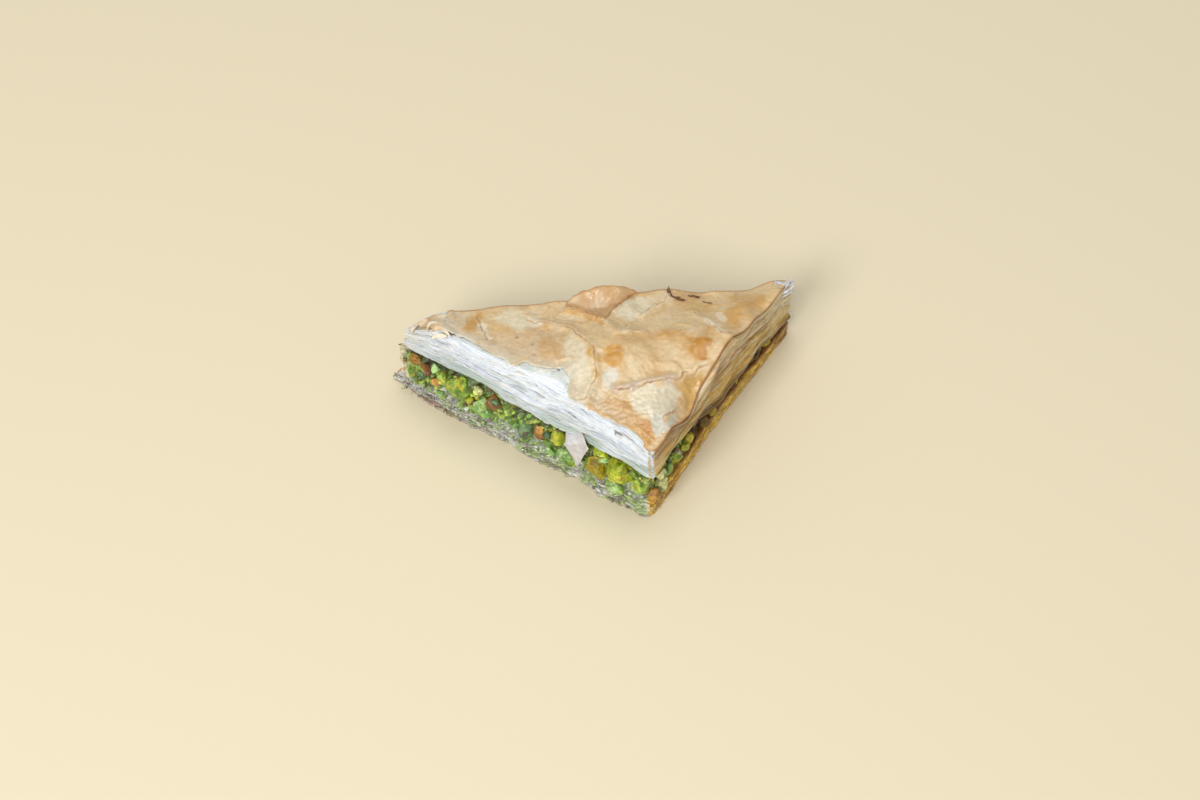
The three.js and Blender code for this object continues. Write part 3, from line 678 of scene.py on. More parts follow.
def turned(points, tilt, heading):
    """Points tipped over by tilt and then swung round by heading."""
    x, y, z = points.T
    x, z = x * math.cos(tilt) + z * math.sin(tilt), z * math.cos(tilt) - x * math.sin(tilt)
    across = x * math.cos(heading) - y * math.sin(heading)
    return np.stack([across, x * math.sin(heading) + y * math.cos(heading), z], 1)


def seeded_draw(seed):
    """A repeatable run of numbers from 0 to 1, the same that places the solid's nuts."""
    steps = 2**32
    while True:
        seed = (seed * 1664525 + 1013904223) % steps
        yield seed / steps


draw_nut = seeded_draw(20240)
chop = np.random.default_rng(7)
balls = {level: ball(level) for level in (2, 3, 4, 5)}
nut_parts = []


def lay_nut(side, along, level, width, height, look):
    """One chopped nut, pressed into the cut side so that it stands a little proud of it."""
    start, end = sides[side]
    run = (end - start) / np.hypot(*(end - start))
    outward = np.array([run[1], -run[0]])
    thickness = min(width, height) * (0.8 + 0.2 * next(draw_nut))
    next(draw_nut), next(draw_nut)
    stand = filling_swell * swell_of(side, along) - thickness * (0.5 - nut_proud)
    plan = start + (end - start) * along + outward * stand
    tilt = (next(draw_nut) - 0.5) * 0.7
    heading = math.atan2(run[1], run[0]) + (next(draw_nut) - 0.5) * 0.5
    points, faces = balls[5 if width > widest_nut else 4]
    lump, fresh = chopped(points, chop, cuts=5 if width > wide_nut else 4, knobbly=0.17)
    lump = lump * np.array([width, thickness, height]) * 0.52
    if look == "brown":
        lump = lump * (1 + 0.05 * np.sin(lump[:, :1] * 7 + lump[:, 2:] * 2))
    placed = turned(lump, tilt, heading) + [*plan, level]
    x, y, z = placed.T
    beyond = (x - start[0]) * outward[0] + (y - start[1]) * outward[1]
    ceiling = filling_upper(x, y) + nut_rise[side] + 3 * ramp(beyond, 0.2, 1.6)
    placed[:, 2] = np.clip(z, filling_lower(x, y) - 0.1, ceiling)
    skin, flesh = nut_colours[look]
    # Painted light: each nut is lighter towards its top.
    painted_top_light = 0.35 * ramp(z - level, -0.5 * height, 0.6 * height)
    colour = blend(skin, flesh, 0.7 * fresh + painted_top_light + 0.5 * drift(x, y, z, 1.6, 43))
    patchy = ramp(drift(x, y, z, 1.8, 44), 0.35, 0.75) * (1 - 0.7 * fresh)
    colour = blend(colour, purple_skin, patchy * (0.85 if look in ("dusk", "lime") else 0.4))
    stained = ramp(drift(x, y, z, 1.3, 46), 0.15, 0.7) * (look in ("green", "lime", "mint"))
    colour = blend(colour, nut_colours["yellow" if look != "mint" else "green"][1], 0.6 * stained)
    colour = colour * (0.72 + 0.5 * ramp(drift(x, y, z, 0.6, 45), -1, 1))[:, None]
    # Painted shade darkens each nut's underside.
    colour = blend(colour, painted_crumb_shade, 0.45 * ramp(level - z, 0.2 * height, 0.55 * height))
    colour = blend(colour, left_crust, 0.8 * crusted(placed))
    nut_parts.append((placed, faces, colour))


def gather(parts):
    """Many small closed meshes as one."""
    starts = np.r_[0, np.cumsum([len(points) for points, _, _ in parts])[:-1]]
    faces = np.vstack([f + start for (_, f, _), start in zip(parts, starts)])
    return np.vstack([p for p, _, _ in parts]), faces, np.vstack([c for _, _, c in parts])


for nut in large_nuts:
    lay_nut(*nut)
for side, count, smallest, largest in strewn_nuts:
    for i in range(count):
        share = (i + next(draw_nut)) / count
        first, last = strewn_span[side]
        along = first + (last - first) * share
        start, end = sides[side]
        plan = start + (end - start) * along
        low = filling_lower(*plan)
        room = filling_upper(*plan) - low
        width = min(smallest + (largest - smallest) * next(draw_nut) ** 2, room)
        height = width * (0.75 + 0.25 * next(draw_nut))
        level = low + height / 2 + next(draw_nut) * (room - height)
        looks = strewn_looks[side]
        look = looks[chop.integers(len(looks))]
        if side == "right":
            look = ("green", "pale", "yellow")[chop.integers(3)] if along < mixed_corner else look
        lay_nut(side, along, level, width, height, look)

chopped_nuts = pastry_piece(
    "chopped_nuts", *gather(nut_parts),
    pastry("pistachio", 0.45, **nut_finish, mottle=0.26, mottle_size=0.6, grain=0.9,
           grain_size=0.4, grain_depth=0.3),
)
belongs_to(chopped_nuts, "pistachio_filling")

# Loose crumbs and grains of the same nuts stick to the mass. On the left they also lie on the
# steps of the soaked leaves under it.


def strew(count, smallest, largest, detail, proud, low_down, seed):
    """Crumbs that are half sunk in the cut side of the mass."""
    draw = np.random.default_rng(seed)
    parts = []
    points, faces = balls[detail]
    for _ in range(count):
        spot = draw.integers(around)
        row = int(core_rows * draw.random() ** low_down)
        size = smallest * (largest / smallest) ** (draw.random() ** 1.7)
        place = core_points[side_start + row * around + spot].copy()
        on_step = core_ring.side[spot] == "left" and size < 1.0 and draw.random() < 0.35
        if on_step:
            step = draw.random()
            place[:2] += core_ring.square[spot] * (2.0 * (1 - step) + 0.2)
            place[2] = height_of("base", *place[:2]) * (0.3 + 0.7 * step)
        place[:2] += core_ring.square[spot] * proud * size
        shape, fresh = chopped(points, draw, cuts=4, knobbly=0.2)
        shape = shape * draw.uniform(0.6, 1.1, 3) * size / 2
        shape = turned(shape, draw.uniform(0, 6), draw.uniform(0, 6)) + place
        colours = crumb_colours["foot" if on_step else core_zone[row * around + spot]]
        colour = colours[draw.integers(len(colours))] * draw.uniform(0.8, 1.25)
        parts.append((shape, faces, blend(colour, colour * 1.3, fresh)))
    return gather(parts)


crumb_finish = pastry("nut_crumb", 0.35, **nut_finish, mottle=0.2, mottle_size=0.5, grain=0.4,
                      grain_size=0.3, grain_depth=0.1)
crumbs = strew(300, smallest=1.3, largest=3.2, detail=3, proud=0.0, low_down=0.7, seed=51)
nut_crumbs = pastry_piece("nut_crumbs", *crumbs, crumb_finish)
belongs_to(nut_crumbs, "pistachio_filling")
grains = strew(900, smallest=0.4, largest=1.0, detail=2, proud=0.05, low_down=1.3, seed=52)
nut_grains = pastry_piece("nut_grains", *grains, crumb_finish)
belongs_to(nut_grains, "pistachio_filling")

# ---- Top stack, its cut sides ----
# Three dozen buttered phyllo leaves, baked crisp. The knife shows each one as a thin line: white
# and open on the left, browned and pressed together on the right, with a groove between two packs.
stack_lean = {"left": 2.4, "right": 0.8, "back": 2.2}
# The leaves droop over the right edge: place and width along it, depth, and how far in they start.
droops = ((0.26, 0.11, 7.8, 5.0), (0.78, 0.06, 2.4, 4.0))
top_leaf_dip = 0.6
leaf_relief = 0.42
leaf_bundles = 3.5
stack_leaves = 36
# Where the leaves have blistered: the middle, the radius and the height of each.
blisters = (
    (-25, 19, 7, 0.9), (-15, 8, 7, 0.7), (-8, 2, 5, 0.8), (9, 22, 5, 1.0), (4, 3, 8, 0.8),
    (22, 9, 9, 0.9), (11, -17, 5, 0.7), (44, 22, 6, 0.8), (-40, 21, 4, 0.7),
)
# The lines that the top leaves are folded up along.
creases = (
    ((-16, 21), (-9, 17), (-4, 7), (-4, -4), (-8, -10)),
    ((-7, 25), (0, 19.5), (2, 18), (5, 22.5), (8, 27)),
    ((2, 18), (4, 11), (11, 11)),
    ((22, 27), (18, 23), (13, 19)),
    ((28, 19.5), (31.5, 14), (34, 6), (36.5, 5)),
    ((1, -9), (12, -8), (20, -7), (28, -4)),
    ((20, -12), (15, -17), (13, -21)),
    ((-49, 21), (-48, 25), (-45, 23), (-42, 17)),
)
crease_height, crease_width = 0.9, 1.5


def beside(line, x, y):
    """The distance to a run of points, positive on the left of its direction."""
    nearest = np.full(np.shape(x), np.inf)
    signed = np.zeros(np.shape(x))
    for (ax, ay), (bx, by) in zip(line[:-1], line[1:]):
        along = ((x - ax) * (bx - ax) + (y - ay) * (by - ay)) / ((bx - ax) ** 2 + (by - ay) ** 2)
        along = np.clip(along, 0, 1)
        away = np.hypot(x - ax - along * (bx - ax), y - ay - along * (by - ay))
        left = (bx - ax) * (y - ay) - (by - ay) * (x - ax)
        signed = np.where(away < nearest, np.where(left > 0, away, -away), signed)
        nearest = np.minimum(nearest, away)
    return signed


right_run = (right_tip - front_corner) / right_edge


def droop_of(x, y):
    """How far the upper leaves hang down towards the right edge."""
    along = ((x - front_corner[0]) * right_run[0] + (y - front_corner[1]) * right_run[1]) / right_edge
    inward = right_run[0] * (y - front_corner[1]) - right_run[1] * (x - front_corner[0])
    inward = np.maximum(inward, 0)
    droop = 0
    for at, width, depth, reach in droops:
        droop = droop + depth * bell((along - at) / width) * bell(inward / reach)
    return droop


def stack_upper(x, y):
    """The stack's upper face, with its blisters and folds."""
    swollen = 0
    for bx, by, radius, height in blisters:
        swollen = swollen + height * np.exp(-((x - bx) ** 2 + (y - by) ** 2) / radius**2)
    nearest = np.min([np.abs(beside(line, x, y)) for line in creases], axis=0)
    ridge = crease_height * bell(nearest / crease_width)
    return height_of("top", x, y) - top_leaf_dip + swollen + ridge - droop_of(x, y)


def stack_lower(x, y):
    return height_of("filling", x, y) + layer_gap


stack_ring = Ring(count=480, trim=(-1.0, -2.6, 0.8), rounding=(2, 4, 6.5))
on_right = stack_ring.by_side(left=0, right=1, back=0)
on_left = stack_ring.by_side(left=1, right=0, back=0)


def stack_face(depth):
    """How far the cut side stands out of the ring, from depth 0 at the top to 1 at the foot."""
    lean = stack_ring.by_side(ease=7, **stack_lean) * (1 - depth)
    bundle = np.sin(2 * np.pi * (leaf_bundles * depth + 0.22 * ripple(stack_ring.share, 5, 0.8)))
    relief = leaf_relief * (bundle + 0.8 * ripple(stack_ring.share, 17, 7 * depth))
    return relief - lean


# The cut side's upper rim lies a little under the top leaf.
rim_dip = 0.35
top_edge = stack_ring.at_offset(stack_face(0))
rim_high = stack_upper(*top_edge.T) - rim_dip
rim_low = stack_lower(*stack_ring.at_offset(stack_face(1)).T)

# Leaves run thick and thin along the cut, and gape a little between the packs.
x, y = stack_ring.at.T
pitch = np.exp([
    (0.6 - 0.3 * on_right) * drift(x, y, 13 * k, 14, 61) + 0.25 * drift(x, y, 7 * k, 5, 60)
    for k in range(stack_leaves)
])
leaf_tops = np.vstack([np.zeros(len(x)), np.cumsum(pitch, axis=0)]) / pitch.sum(axis=0)
# On the right, a groove runs at this share of the stack's depth.
groove = 0.42
# On the left, the edges of the top leaves step back by this much.
top_terrace = 2.0


def leaf_face(k, plan, part):
    """The height of a leaf's upper or lower face. part is the share of the leaf's own room."""
    x, y = plan.T
    depth = leaf_tops[k] + (leaf_tops[k + 1] - leaf_tops[k]) * part
    wavy = 0.35 * drift(stack_ring.at[:, 0], stack_ring.at[:, 1], 5 * depth, 8, 62)
    curl = 0.08 * drift(x, y, 7 * k, 1.4, 63)
    wavy = wavy * (1 - 0.6 * on_right)
    level = rim_high + (rim_low - rim_high) * depth + (wavy + curl) * 4 * depth * (1 - depth)
    return np.minimum(level, stack_upper(x, y) - 0.45)


# The steps end at the square corner.
to_corner = ramp(1 - stack_ring.along, 0.0, 0.09)
stack_out, stack_gap = [], []
for k in range(stack_leaves):
    depth = (leaf_tops[k] + leaf_tops[k + 1]) / 2
    ragged = 0.2 * drift(x, y, 19 * k, 2.2, 64) + 0.14 * drift(x, y, 19 * k, 0.7, 65)
    broken = -1.3 * np.maximum(0, drift(x, y, 23 * k, 6, 66) - 0.55)
    proud = 0.45 * on_left * drift(x, y, 3 * k, 11, 68)
    parted = -0.8 * on_right * bell((depth - groove) / 0.03)
    terraced = -top_terrace * on_left * to_corner * np.exp(-depth / 0.1)
    rough = (ragged + broken) * (1 - 0.6 * on_right)
    stack_out.append(stack_face(depth) + rough + proud + parted + terraced)
    open_gap = ramp(drift(x, y, 43 * k, 7, 67), 0.15, 0.95)
    stack_gap.append(0.02 + (0.05 + 0.1 * on_right) * open_gap)

leaf_white = paint(240, 243, 246)
leaf_cream = paint(236, 230, 214)
leaf_grey = paint(198, 204, 214)
leaf_green = paint(164, 184, 158)
leaf_dusk = paint(186, 194, 190)
leaf_beige = paint(222, 194, 148)
leaf_brown = paint(214, 176, 98)
leaf_toast = paint(158, 108, 48)
front_toast = paint(184, 146, 96)
soaked_gap_shade = paint(104, 74, 22)
tip_fibre = paint(248, 228, 186)


def stack_colour(k, plan, inset):
    """White leaves on the left, stained towards their foot, and browned ones on the right."""
    x, y = plan.T
    depth = (leaf_tops[k] + leaf_tops[k + 1]) / 2
    pale = blend(leaf_white, leaf_cream, 0.45 * ramp(drift(x, y, 29 * k, 9, 71), 0.1, 1))
    pale = blend(pale, leaf_grey, 0.7 * ramp(drift(x, y, 37 * k, 6, 72), 0.3, 0.9))
    stained = ramp(depth, 0.5, 0.95) * ramp(drift(x, y, 3 * k, 5, 73), 0.0, 0.8)
    pale = blend(pale, leaf_dusk, 0.55 * ramp(depth, 0.45, 0.8))
    at_green = bell((stack_ring.along - 0.34) / 0.07) + bell((stack_ring.along - 0.93) / 0.05)
    stained = np.maximum(stained, ramp(depth, 0.5, 0.8) * at_green)
    pale = blend(pale, leaf_green, 0.6 * stained)
    streaked = ramp(drift(x, y, 61 * k, 2.5, 70), 0.1, 0.8) * ramp(depth, 0.1, 0.5)
    pale = blend(pale, leaf_dusk, 0.5 * streaked)
    pale = blend(pale, leaf_cream, 0.8 * ramp(0.14 - stack_ring.along, 0, 0.12))
    brown = blend(leaf_beige, leaf_brown, ramp(depth, groove - 0.05, groove + 0.1))
    brown = blend(brown, leaf_cream, 0.5 * ramp(drift(x, y, 29 * k, 5, 74), 0.2, 0.9))
    brown = blend(brown, leaf_toast, 0.6 * ramp(drift(x, y, 41 * k, 6, 75), 0.4, 1.0))
    brown = blend(brown, leaf_toast, 0.75 * bell((depth - groove) / 0.05))
    at_tip = ramp(stack_ring.along, 0.72, 0.98) * ramp(0.75 - depth, 0, 0.3)
    brown = blend(brown, tip_fibre, 0.8 * at_tip)
    at_front = ramp(0.42 - stack_ring.along, 0.0, 0.2) * ramp(0.8 - depth, 0, 0.5)
    brown = blend(brown, front_toast, 0.75 * at_front)
    brown = blend(brown, leaf_toast, 0.7 * np.exp(-depth / 0.03))
    # The lowest leaves on the right are soaked, and painted darker as shade along the gap over the
    # filling.
    soaked = ramp(depth, 0.84, 0.95) * ramp(stack_ring.along, 0.2, 0.35)
    brown = blend(brown, soaked_gap_shade, 0.85 * soaked)
    colour = blend(pale, brown, on_right)
    colour = colour * (1 + 0.16 * on_right * drift(x, y, 59 * k, 0.8, 69))[:, None]
    return colour * (0.94 + 0.1 * ramp(drift(x, y, 53 * k, 1.5, 76), -1, 1))[:, None]


phyllo = pastry("crisp_phyllo", 0.45, coat=0.2, coat_roughness=0.2, inner=0.4, mottle=0.06,
                mottle_size=4.0, grain=0.4, grain_size=2.4, grain_depth=0.16, layered=14.0)
pack_size = 12
for first in range(0, stack_leaves, pack_size):
    pack = range(first, first + pack_size)
    cut_edges = pastry_piece(
        f"leaf_edges_{first // pack_size + 1}",
        *leaf_rims(
            stack_ring,
            [stack_out[k] for k in pack],
            lambda k, plan: leaf_face(k + first, plan, 0.04),
            lambda k, plan: leaf_face(k + first, plan, 1 - stack_gap[k + first]),
            insets=[0.0, 0.35, 5.0],
            colour=lambda k, plan, inset: stack_colour(k + first, plan, inset),
        ),
        phyllo,
    )
    belongs_to(cut_edges, "phyllo_top")

# The rest of the stack fills the room behind the cut edges.
heart_tint = blend(leaf_cream, leaf_brown, 0.5)
stack_heart = pastry_piece(
    "leaves_within",
    *block(
        stack_ring,
        lambda depth: stack_face(depth) - 1.3,
        lambda x, y: stack_upper(x, y) - 1.6,
        stack_lower,
        rows=14,
        rings=16,
    ),
    heart_tint,
    phyllo,
)
belongs_to(stack_heart, "phyllo_top")

# ---- Top leaves ----
# The top leaf is brushed with butter and bakes golden, with blisters, wrinkles and amber patches.
# Along the left side it has flaked off, and bares the white leaf under it.


def curve(points, step=0.45, closed=False):
    """A smooth line through given points, as evenly spaced ones."""
    points = np.array(points, float)
    if closed:
        padded = np.vstack([points[-1:], points, points[:2]])
    else:
        padded = np.vstack([2 * points[0] - points[1], points, 2 * points[-1] - points[-2]])
    t = np.linspace(0, 1, 12, endpoint=False)[:, None]
    runs = []
    for a, b, c, d in zip(padded, padded[1:], padded[2:], padded[3:]):
        bend = (2 * a - 5 * b + 4 * c - d) * t**2 + (3 * b - a - 3 * c + d) * t**3
        runs.append(b + 0.5 * ((c - a) * t + bend))
    runs.append(padded[-2:-1])
    path = np.vstack(runs)
    length = np.r_[0, np.cumsum(np.hypot(*np.diff(path, axis=0).T))]
    here = np.linspace(0, length[-1], max(4, int(length[-1] / step)) + 1)
    even = np.stack([np.interp(here, length, path[:, k]) for k in (0, 1)], 1)
    return even[:-1] if closed else even


def inside(outline, x, y):
    """How far a point lies within a closed outline. It is negative outside."""
    loop = np.vstack([outline, outline[:1]])
    crossings = np.zeros(np.shape(x), bool)
    for (ax, ay), (bx, by) in zip(loop[:-1], loop[1:]):
        spans = (ay > y) != (by > y)
        if by != ay:
            crossings ^= spans & (x < ax + (y - ay) * (bx - ax) / (by - ay))
    distance = np.abs(beside(loop, x, y))
    return np.where(crossings, distance, -distance)


def torn(outline, depth, size, seed):
    """An outline with a torn edge: each point is moved in or out."""
    x, y = outline.T
    normal = square_to(np.roll(outline, -1, axis=0) - np.roll(outline, 1, axis=0))
    wobble = drift(x, y, 0, size, seed) + 0.6 * drift(x, y, 0, size / 3, seed + 1)
    return outline + normal * (depth * wobble)[:, None]


def leaf_sheet(outline, lines, spacing, height, thickness, colour, finish, wet):
    """A thin leaf with a torn outline, as a closed mesh with its tint, finish and wetness. Its
    points are closer along the lines, so that a crease or a crack there stays sharp."""
    draw = np.random.default_rng(3)
    low, high = outline.min(0), outline.max(0)
    grid = np.stack(np.meshgrid(*[np.arange(a, b, spacing) for a, b in zip(low, high)]), -1)
    grid = grid.reshape(-1, 2)
    grid = grid + draw.uniform(-0.2, 0.2, grid.shape) * spacing
    extra = []
    for line in lines:
        normal = -square_to(np.gradient(line, axis=0))
        for offset in (-0.5, -0.14, 0.14, 0.5):
            extra.append(line + normal * offset)
    if lines:
        near = np.min([np.abs(beside(line, *grid.T)) for line in lines], axis=0)
        grid = grid[near > 0.7]
        grid = np.vstack([grid] + extra)
    grid = grid[inside(outline, *grid.T) > 0.6 * spacing]
    around = len(outline)
    plan = np.vstack([outline, grid])
    made = delaunay_2d_cdt([Vector(p) for p in plan], [], [list(range(around))], 1, 1e-5)
    plan = np.array([v[:] for v in made[0]])
    tris = np.array([f for f in made[2] if len(f) == 3])
    corner = plan[tris]
    a, b = corner[:, 1] - corner[:, 0], corner[:, 2] - corner[:, 0]
    flip = a[:, 0] * b[:, 1] - a[:, 1] * b[:, 0] < 0
    tris[flip] = tris[flip][:, ::-1]
    count = len(plan)
    edge = np.vstack([tris[:, [0, 1]], tris[:, [1, 2]], tris[:, [2, 0]]])
    key = edge[:, 0] * count + edge[:, 1]
    border = edge[~np.isin(key, edge[:, 1] * count + edge[:, 0])]
    x, y = plan.T
    z = height(x, y)
    points = np.vstack([np.c_[plan, z], np.c_[plan, z - thickness]])
    walls = np.c_[border[:, 1], border[:, 0], border[:, 0] + count, border[:, 1] + count]
    faces = [np.vstack([tris, tris[:, ::-1] + count]), walls]
    return points, faces, np.tile(colour(x, y), (2, 1)), finish, np.tile(wet(x, y), 2)


top_thickness = 0.16

# The line that the golden leaf is torn along, from the back edge round to the square corner.
golden_tear = (
    (-43, 28), (-44, 21), (-41, 18), (-38, 16.5), (-35, 13.5), (-31.5, 9), (-29, 6.5),
    (-26, 3.5), (-23, 4.5), (-21, 3), (-18, 1.5), (-15, 1), (-12.5, 0), (-11.5, -3), (-12, -6),
    (-12.5, -9), (-11.5, -11), (-7.5, -14), (-3.5, -17.5), (1, -21), (4, -23.5), (6.5, -27),
)
tear = curve(golden_tear, 0.4)
start = np.argmin(np.hypot(*(top_edge - tear[-1]).T))
end = np.argmin(np.hypot(*(top_edge - tear[0]).T))
rest = np.arange(start, end + (len(top_edge) if end < start else 0)) % len(top_edge)
golden_rest = curve(stack_ring.at_offset(stack_face(0) - 0.05)[rest[1:]], 0.4)
golden_outline = np.vstack([torn(tear, 0.35, 2.0, 81), golden_rest])

# Folds and cracks of the golden leaf: the points of each, and how high its left lip stands. Where
# that is negative, its right lip stands up instead.
cracks = (
    (((-20, 23), (-16.5, 21), (-13, 19.5), (-10, 17.8), (-8, 15.5), (-6.3, 12), (-5, 9.5),
      (-3.3, 7), (-3.3, 4), (-3.5, 1), (-3.5, -3), (-4, -5), (-5.5, -7), (-7.5, -10), (-10, -11)), 0.5),
    (((-7, 25), (-4, 23), (-2, 21.5), (0, 19.5)), 0.3),
    (((2, 18), (3.5, 20.5), (5.2, 22.5), (6.3, 25), (8.2, 27)), 0.35),
    (((5, 21), (5.3, 19.3), (6.5, 17), (7.7, 16), (7, 13.5), (5.5, 11)), 0.3),
    (((5.5, 11.5), (7.5, 11.5), (11, 11)), 0.25),
    (((22, 27), (20.5, 25), (18, 23), (16, 22), (13, 19)), 0.4),
    (((28, 19.5), (31, 16), (32, 11), (34, 6.5), (36.5, 5.5)), 0.45),
    (((1, -9), (6, -9), (12, -8), (17, -7.5), (20, -7), (21.5, -5.5), (23.5, -6), (25.5, -5),
      (28.3, -4)), 0.4),
    (((20, -12), (18, -14), (15, -17.5), (13, -20.5)), 0.35),
    (((-34.5, 26), (-33.7, 22.5), (-33.3, 19.5), (-32.5, 16)), -0.25),
)
crack_lines = [torn(curve(points, 0.35), 0.4, 1.8, 80) for points, _ in cracks]

# Patches of the top leaves' bake: outline, colour, softness of the edge and strength.
tan = paint(222, 190, 142)
tan_left = paint(220, 190, 146)
amber = paint(208, 154, 72)
deep_amber = paint(186, 126, 44)
orange_bake = paint(206, 154, 86)
brown_bake = paint(211, 170, 118)
cream_bake = paint(234, 219, 186)
wet_cream = paint(232, 220, 190)
peeled = paint(212, 205, 184)
tip_tan = paint(188, 142, 84)
# Painted highlight for the raised lips of cracks and folds.
lip_cream_highlight = paint(244, 228, 196)
bake_patches = (
    (((-29, 17), (-24, 17), (-18, 15), (-18, 4), (-24, 5), (-28, 9)), paint(220, 188, 148), 2.0, 0.9),
    (((-30, 25), (-27, 27), (-21, 27), (-18, 24.5), (-16, 20), (-19, 19), (-24, 19), (-27, 21.5)),
     cream_bake, 1.6, 0.9),
    (((-18.3, 14.5), (-15.8, 15), (-13.4, 12.8), (-12, 9), (-11.5, 5), (-12, 2.4), (-14, 1),
      (-16.8, 2.3), (-18, 6)), brown_bake, 0.9, 1.0),
    (((-38.5, 20), (-37.5, 24.5), (-36, 27), (-33, 28.3), (-33, 26), (-34.7, 23.5), (-35.6, 21.5),
      (-36.8, 19.5)), amber, 0.8, 1.0),
    (((-32, 24), (-30, 24), (-28.8, 22), (-26.5, 20), (-24.5, 18), (-25.5, 16.8), (-28.6, 19),
      (-31, 21.5)), paint(222, 184, 128), 1.0, 0.9),
    (((-33, 14), (-30, 14), (-30, 11), (-32, 10.5)), paint(206, 178, 138), 1.2, 0.7),
    (((-25, 8), (-23, 8), (-23, 5), (-25, 4), (-26, 5.5)), paint(216, 182, 120), 0.8, 0.7),
    # A pale crack lip, painted lighter as highlight.
    (((-33.8, 23), (-32.8, 23), (-31.8, 17.5), (-31.8, 15.5), (-33, 16.5), (-33.6, 19.5)),
     lip_cream_highlight, 0.5, 0.9),
    (((-10.5, 11), (-7, 9), (-5, 5.5), (-4.5, 1), (-5, -5), (-8, -6.5), (-11, -3.5), (-11.5, 3)),
     cream_bake, 1.2, 0.8),
    (((5.5, 21), (7, 24), (9, 26.5), (13, 27), (17, 27), (18, 24), (13, 19), (9, 16.5), (6.5, 18)),
     cream_bake, 1.0, 0.9),
    (((15, 18), (20, 19), (24, 17), (24, 12), (18, 12), (14, 14)), paint(232, 204, 158), 1.6, 0.7),
    (((26, 24), (30, 25.5), (36, 24.5), (36, 21), (31, 19), (27, 20)), paint(220, 180, 112), 1.6, 0.8),
    (((14, 10), (18, 10), (22, 9.5), (26, 6.5), (29.5, 5), (29, -1), (26, -2.5), (23, -0.5),
      (20, 4), (14, 6)), orange_bake, 1.8, 0.7),
    (((9, 4), (12, 7), (21, 7), (23, 3), (22, -4), (17, -4.5), (13, 1.5)), tan, 1.8, 0.5),
    (((25, 5.5), (28, 6), (30, 3.5), (30, 0), (28, -2.5), (25.5, -1)), deep_amber, 1.0, 1.0),
    (((2, -1), (5, 0), (7, -3), (6, -6), (3.5, -5)), paint(214, 176, 120), 1.2, 0.7),
    (((1, 5), (4.2, 5.6), (5.6, 3), (4.2, 0.5), (2.4, -2.4), (0.4, -1.2), (0, 2.2)),
     paint(204, 146, 62), 1.0, 0.95),
    (((36.5, 17), (40, 20), (43, 20.5), (42, 14), (40, 10), (37.5, 9), (36.3, 12)), amber, 1.6, 0.75),
    (((41, 26), (48, 26.5), (51, 23.5), (49, 21), (44, 20), (41, 22)), paint(206, 160, 88), 1.4, 0.85),
    (((44.5, 25), (49, 23), (50, 20), (45, 16)), orange_bake, 1.2, 0.6),
    (((6, -9), (12, -8.3), (18.5, -9.5), (20, -10.5), (18.5, -12.5), (15, -17), (13, -21.5),
      (10, -25.5), (8.5, -20.5), (5.5, -17.5), (5, -13.5)), wet_cream, 0.6, 0.9),
    (((-11, -10.8), (-3.2, -11.3), (3.5, -12.5), (4.7, -16.5), (8, -20.3), (9.7, -25), (9, -28.5),
      (6.5, -27.5), (4, -24), (1, -21.5), (-3.5, -18), (-7.5, -14.5)), paint(206, 154, 88), 0.9, 0.9),
    (((6, -19), (8.7, -19.6), (9.6, -23), (7.5, -24), (5.6, -21.5)), paint(198, 136, 62), 0.8, 0.8),
    (((20.5, -7), (24, -6.5), (27, -5.5), (25.5, -9), (22, -13), (20, -15), (20, -11)),
     paint(202, 158, 90), 1.2, 0.9),
    (((-51, 29.5), (-48, 29.5), (-44, 27.5), (-43.5, 22), (-46, 19.5), (-49, 21), (-51, 25)),
     tip_tan, 1.4, 0.9),
    (((10.5, -18.5), (12.5, -18), (12.8, -20.5), (11, -24.5), (9.8, -22.5)), peeled, 0.4, 1.0),
    (((15.8, -18), (17.6, -16.8), (17, -19.8), (13.8, -23.5), (13.6, -21.5)), peeled, 0.4, 1.0),
    (((-3.8, 6), (-2.8, 4.5), (-2.7, 1.5), (-3.8, 0), (-4.5, 2.5)), paint(206, 158, 78), 0.5, 0.9),
    (((-4.4, -2), (-2.8, -2), (-2.4, -5), (-3.8, -6.8), (-4.8, -5)), paint(200, 150, 66), 0.5, 0.9),
    (((-8, 25.5), (-4, 23.5), (-1, 20.5), (1.5, 17.8), (0.5, 15.3), (-1, 17.5), (-4.5, 21),
      (-7.8, 23.3)), paint(206, 156, 88), 0.9, 0.9),
    (((-2, -2.5), (1.5, -2.5), (2, -6), (-0.5, -8.5), (-2, -6.5)), paint(226, 218, 200), 0.9, 0.85),
    (((0.5, -8.3), (6, -8.2), (12, -7), (19, -6), (19, -7.3), (12, -8.6), (6, -9.8), (0.5, -9.8)),
     paint(206, 182, 160), 0.6, 0.8),
    # Pale crack lips and a fold, painted lighter as highlight.
    (((31, 16.5), (33, 12), (35.5, 7.5), (36.5, 5.5), (34, 5.8), (32.3, 8.5), (30.6, 13)),
     lip_cream_highlight, 0.6, 0.8),
    (((35, 18.5), (36, 18.5), (36.3, 14), (35.3, 13.5)), lip_cream_highlight, 0.5, 0.7),
)
edge_brown = paint(178, 124, 64)
crack_brown = paint(170, 112, 52)
# Dark specks of the bake: place and radius.
dark_specks = ((-24, 15.2, 0.45), (-20, 11.5, 0.4), (-20, 7, 0.3))
speck_brown = paint(112, 74, 42)


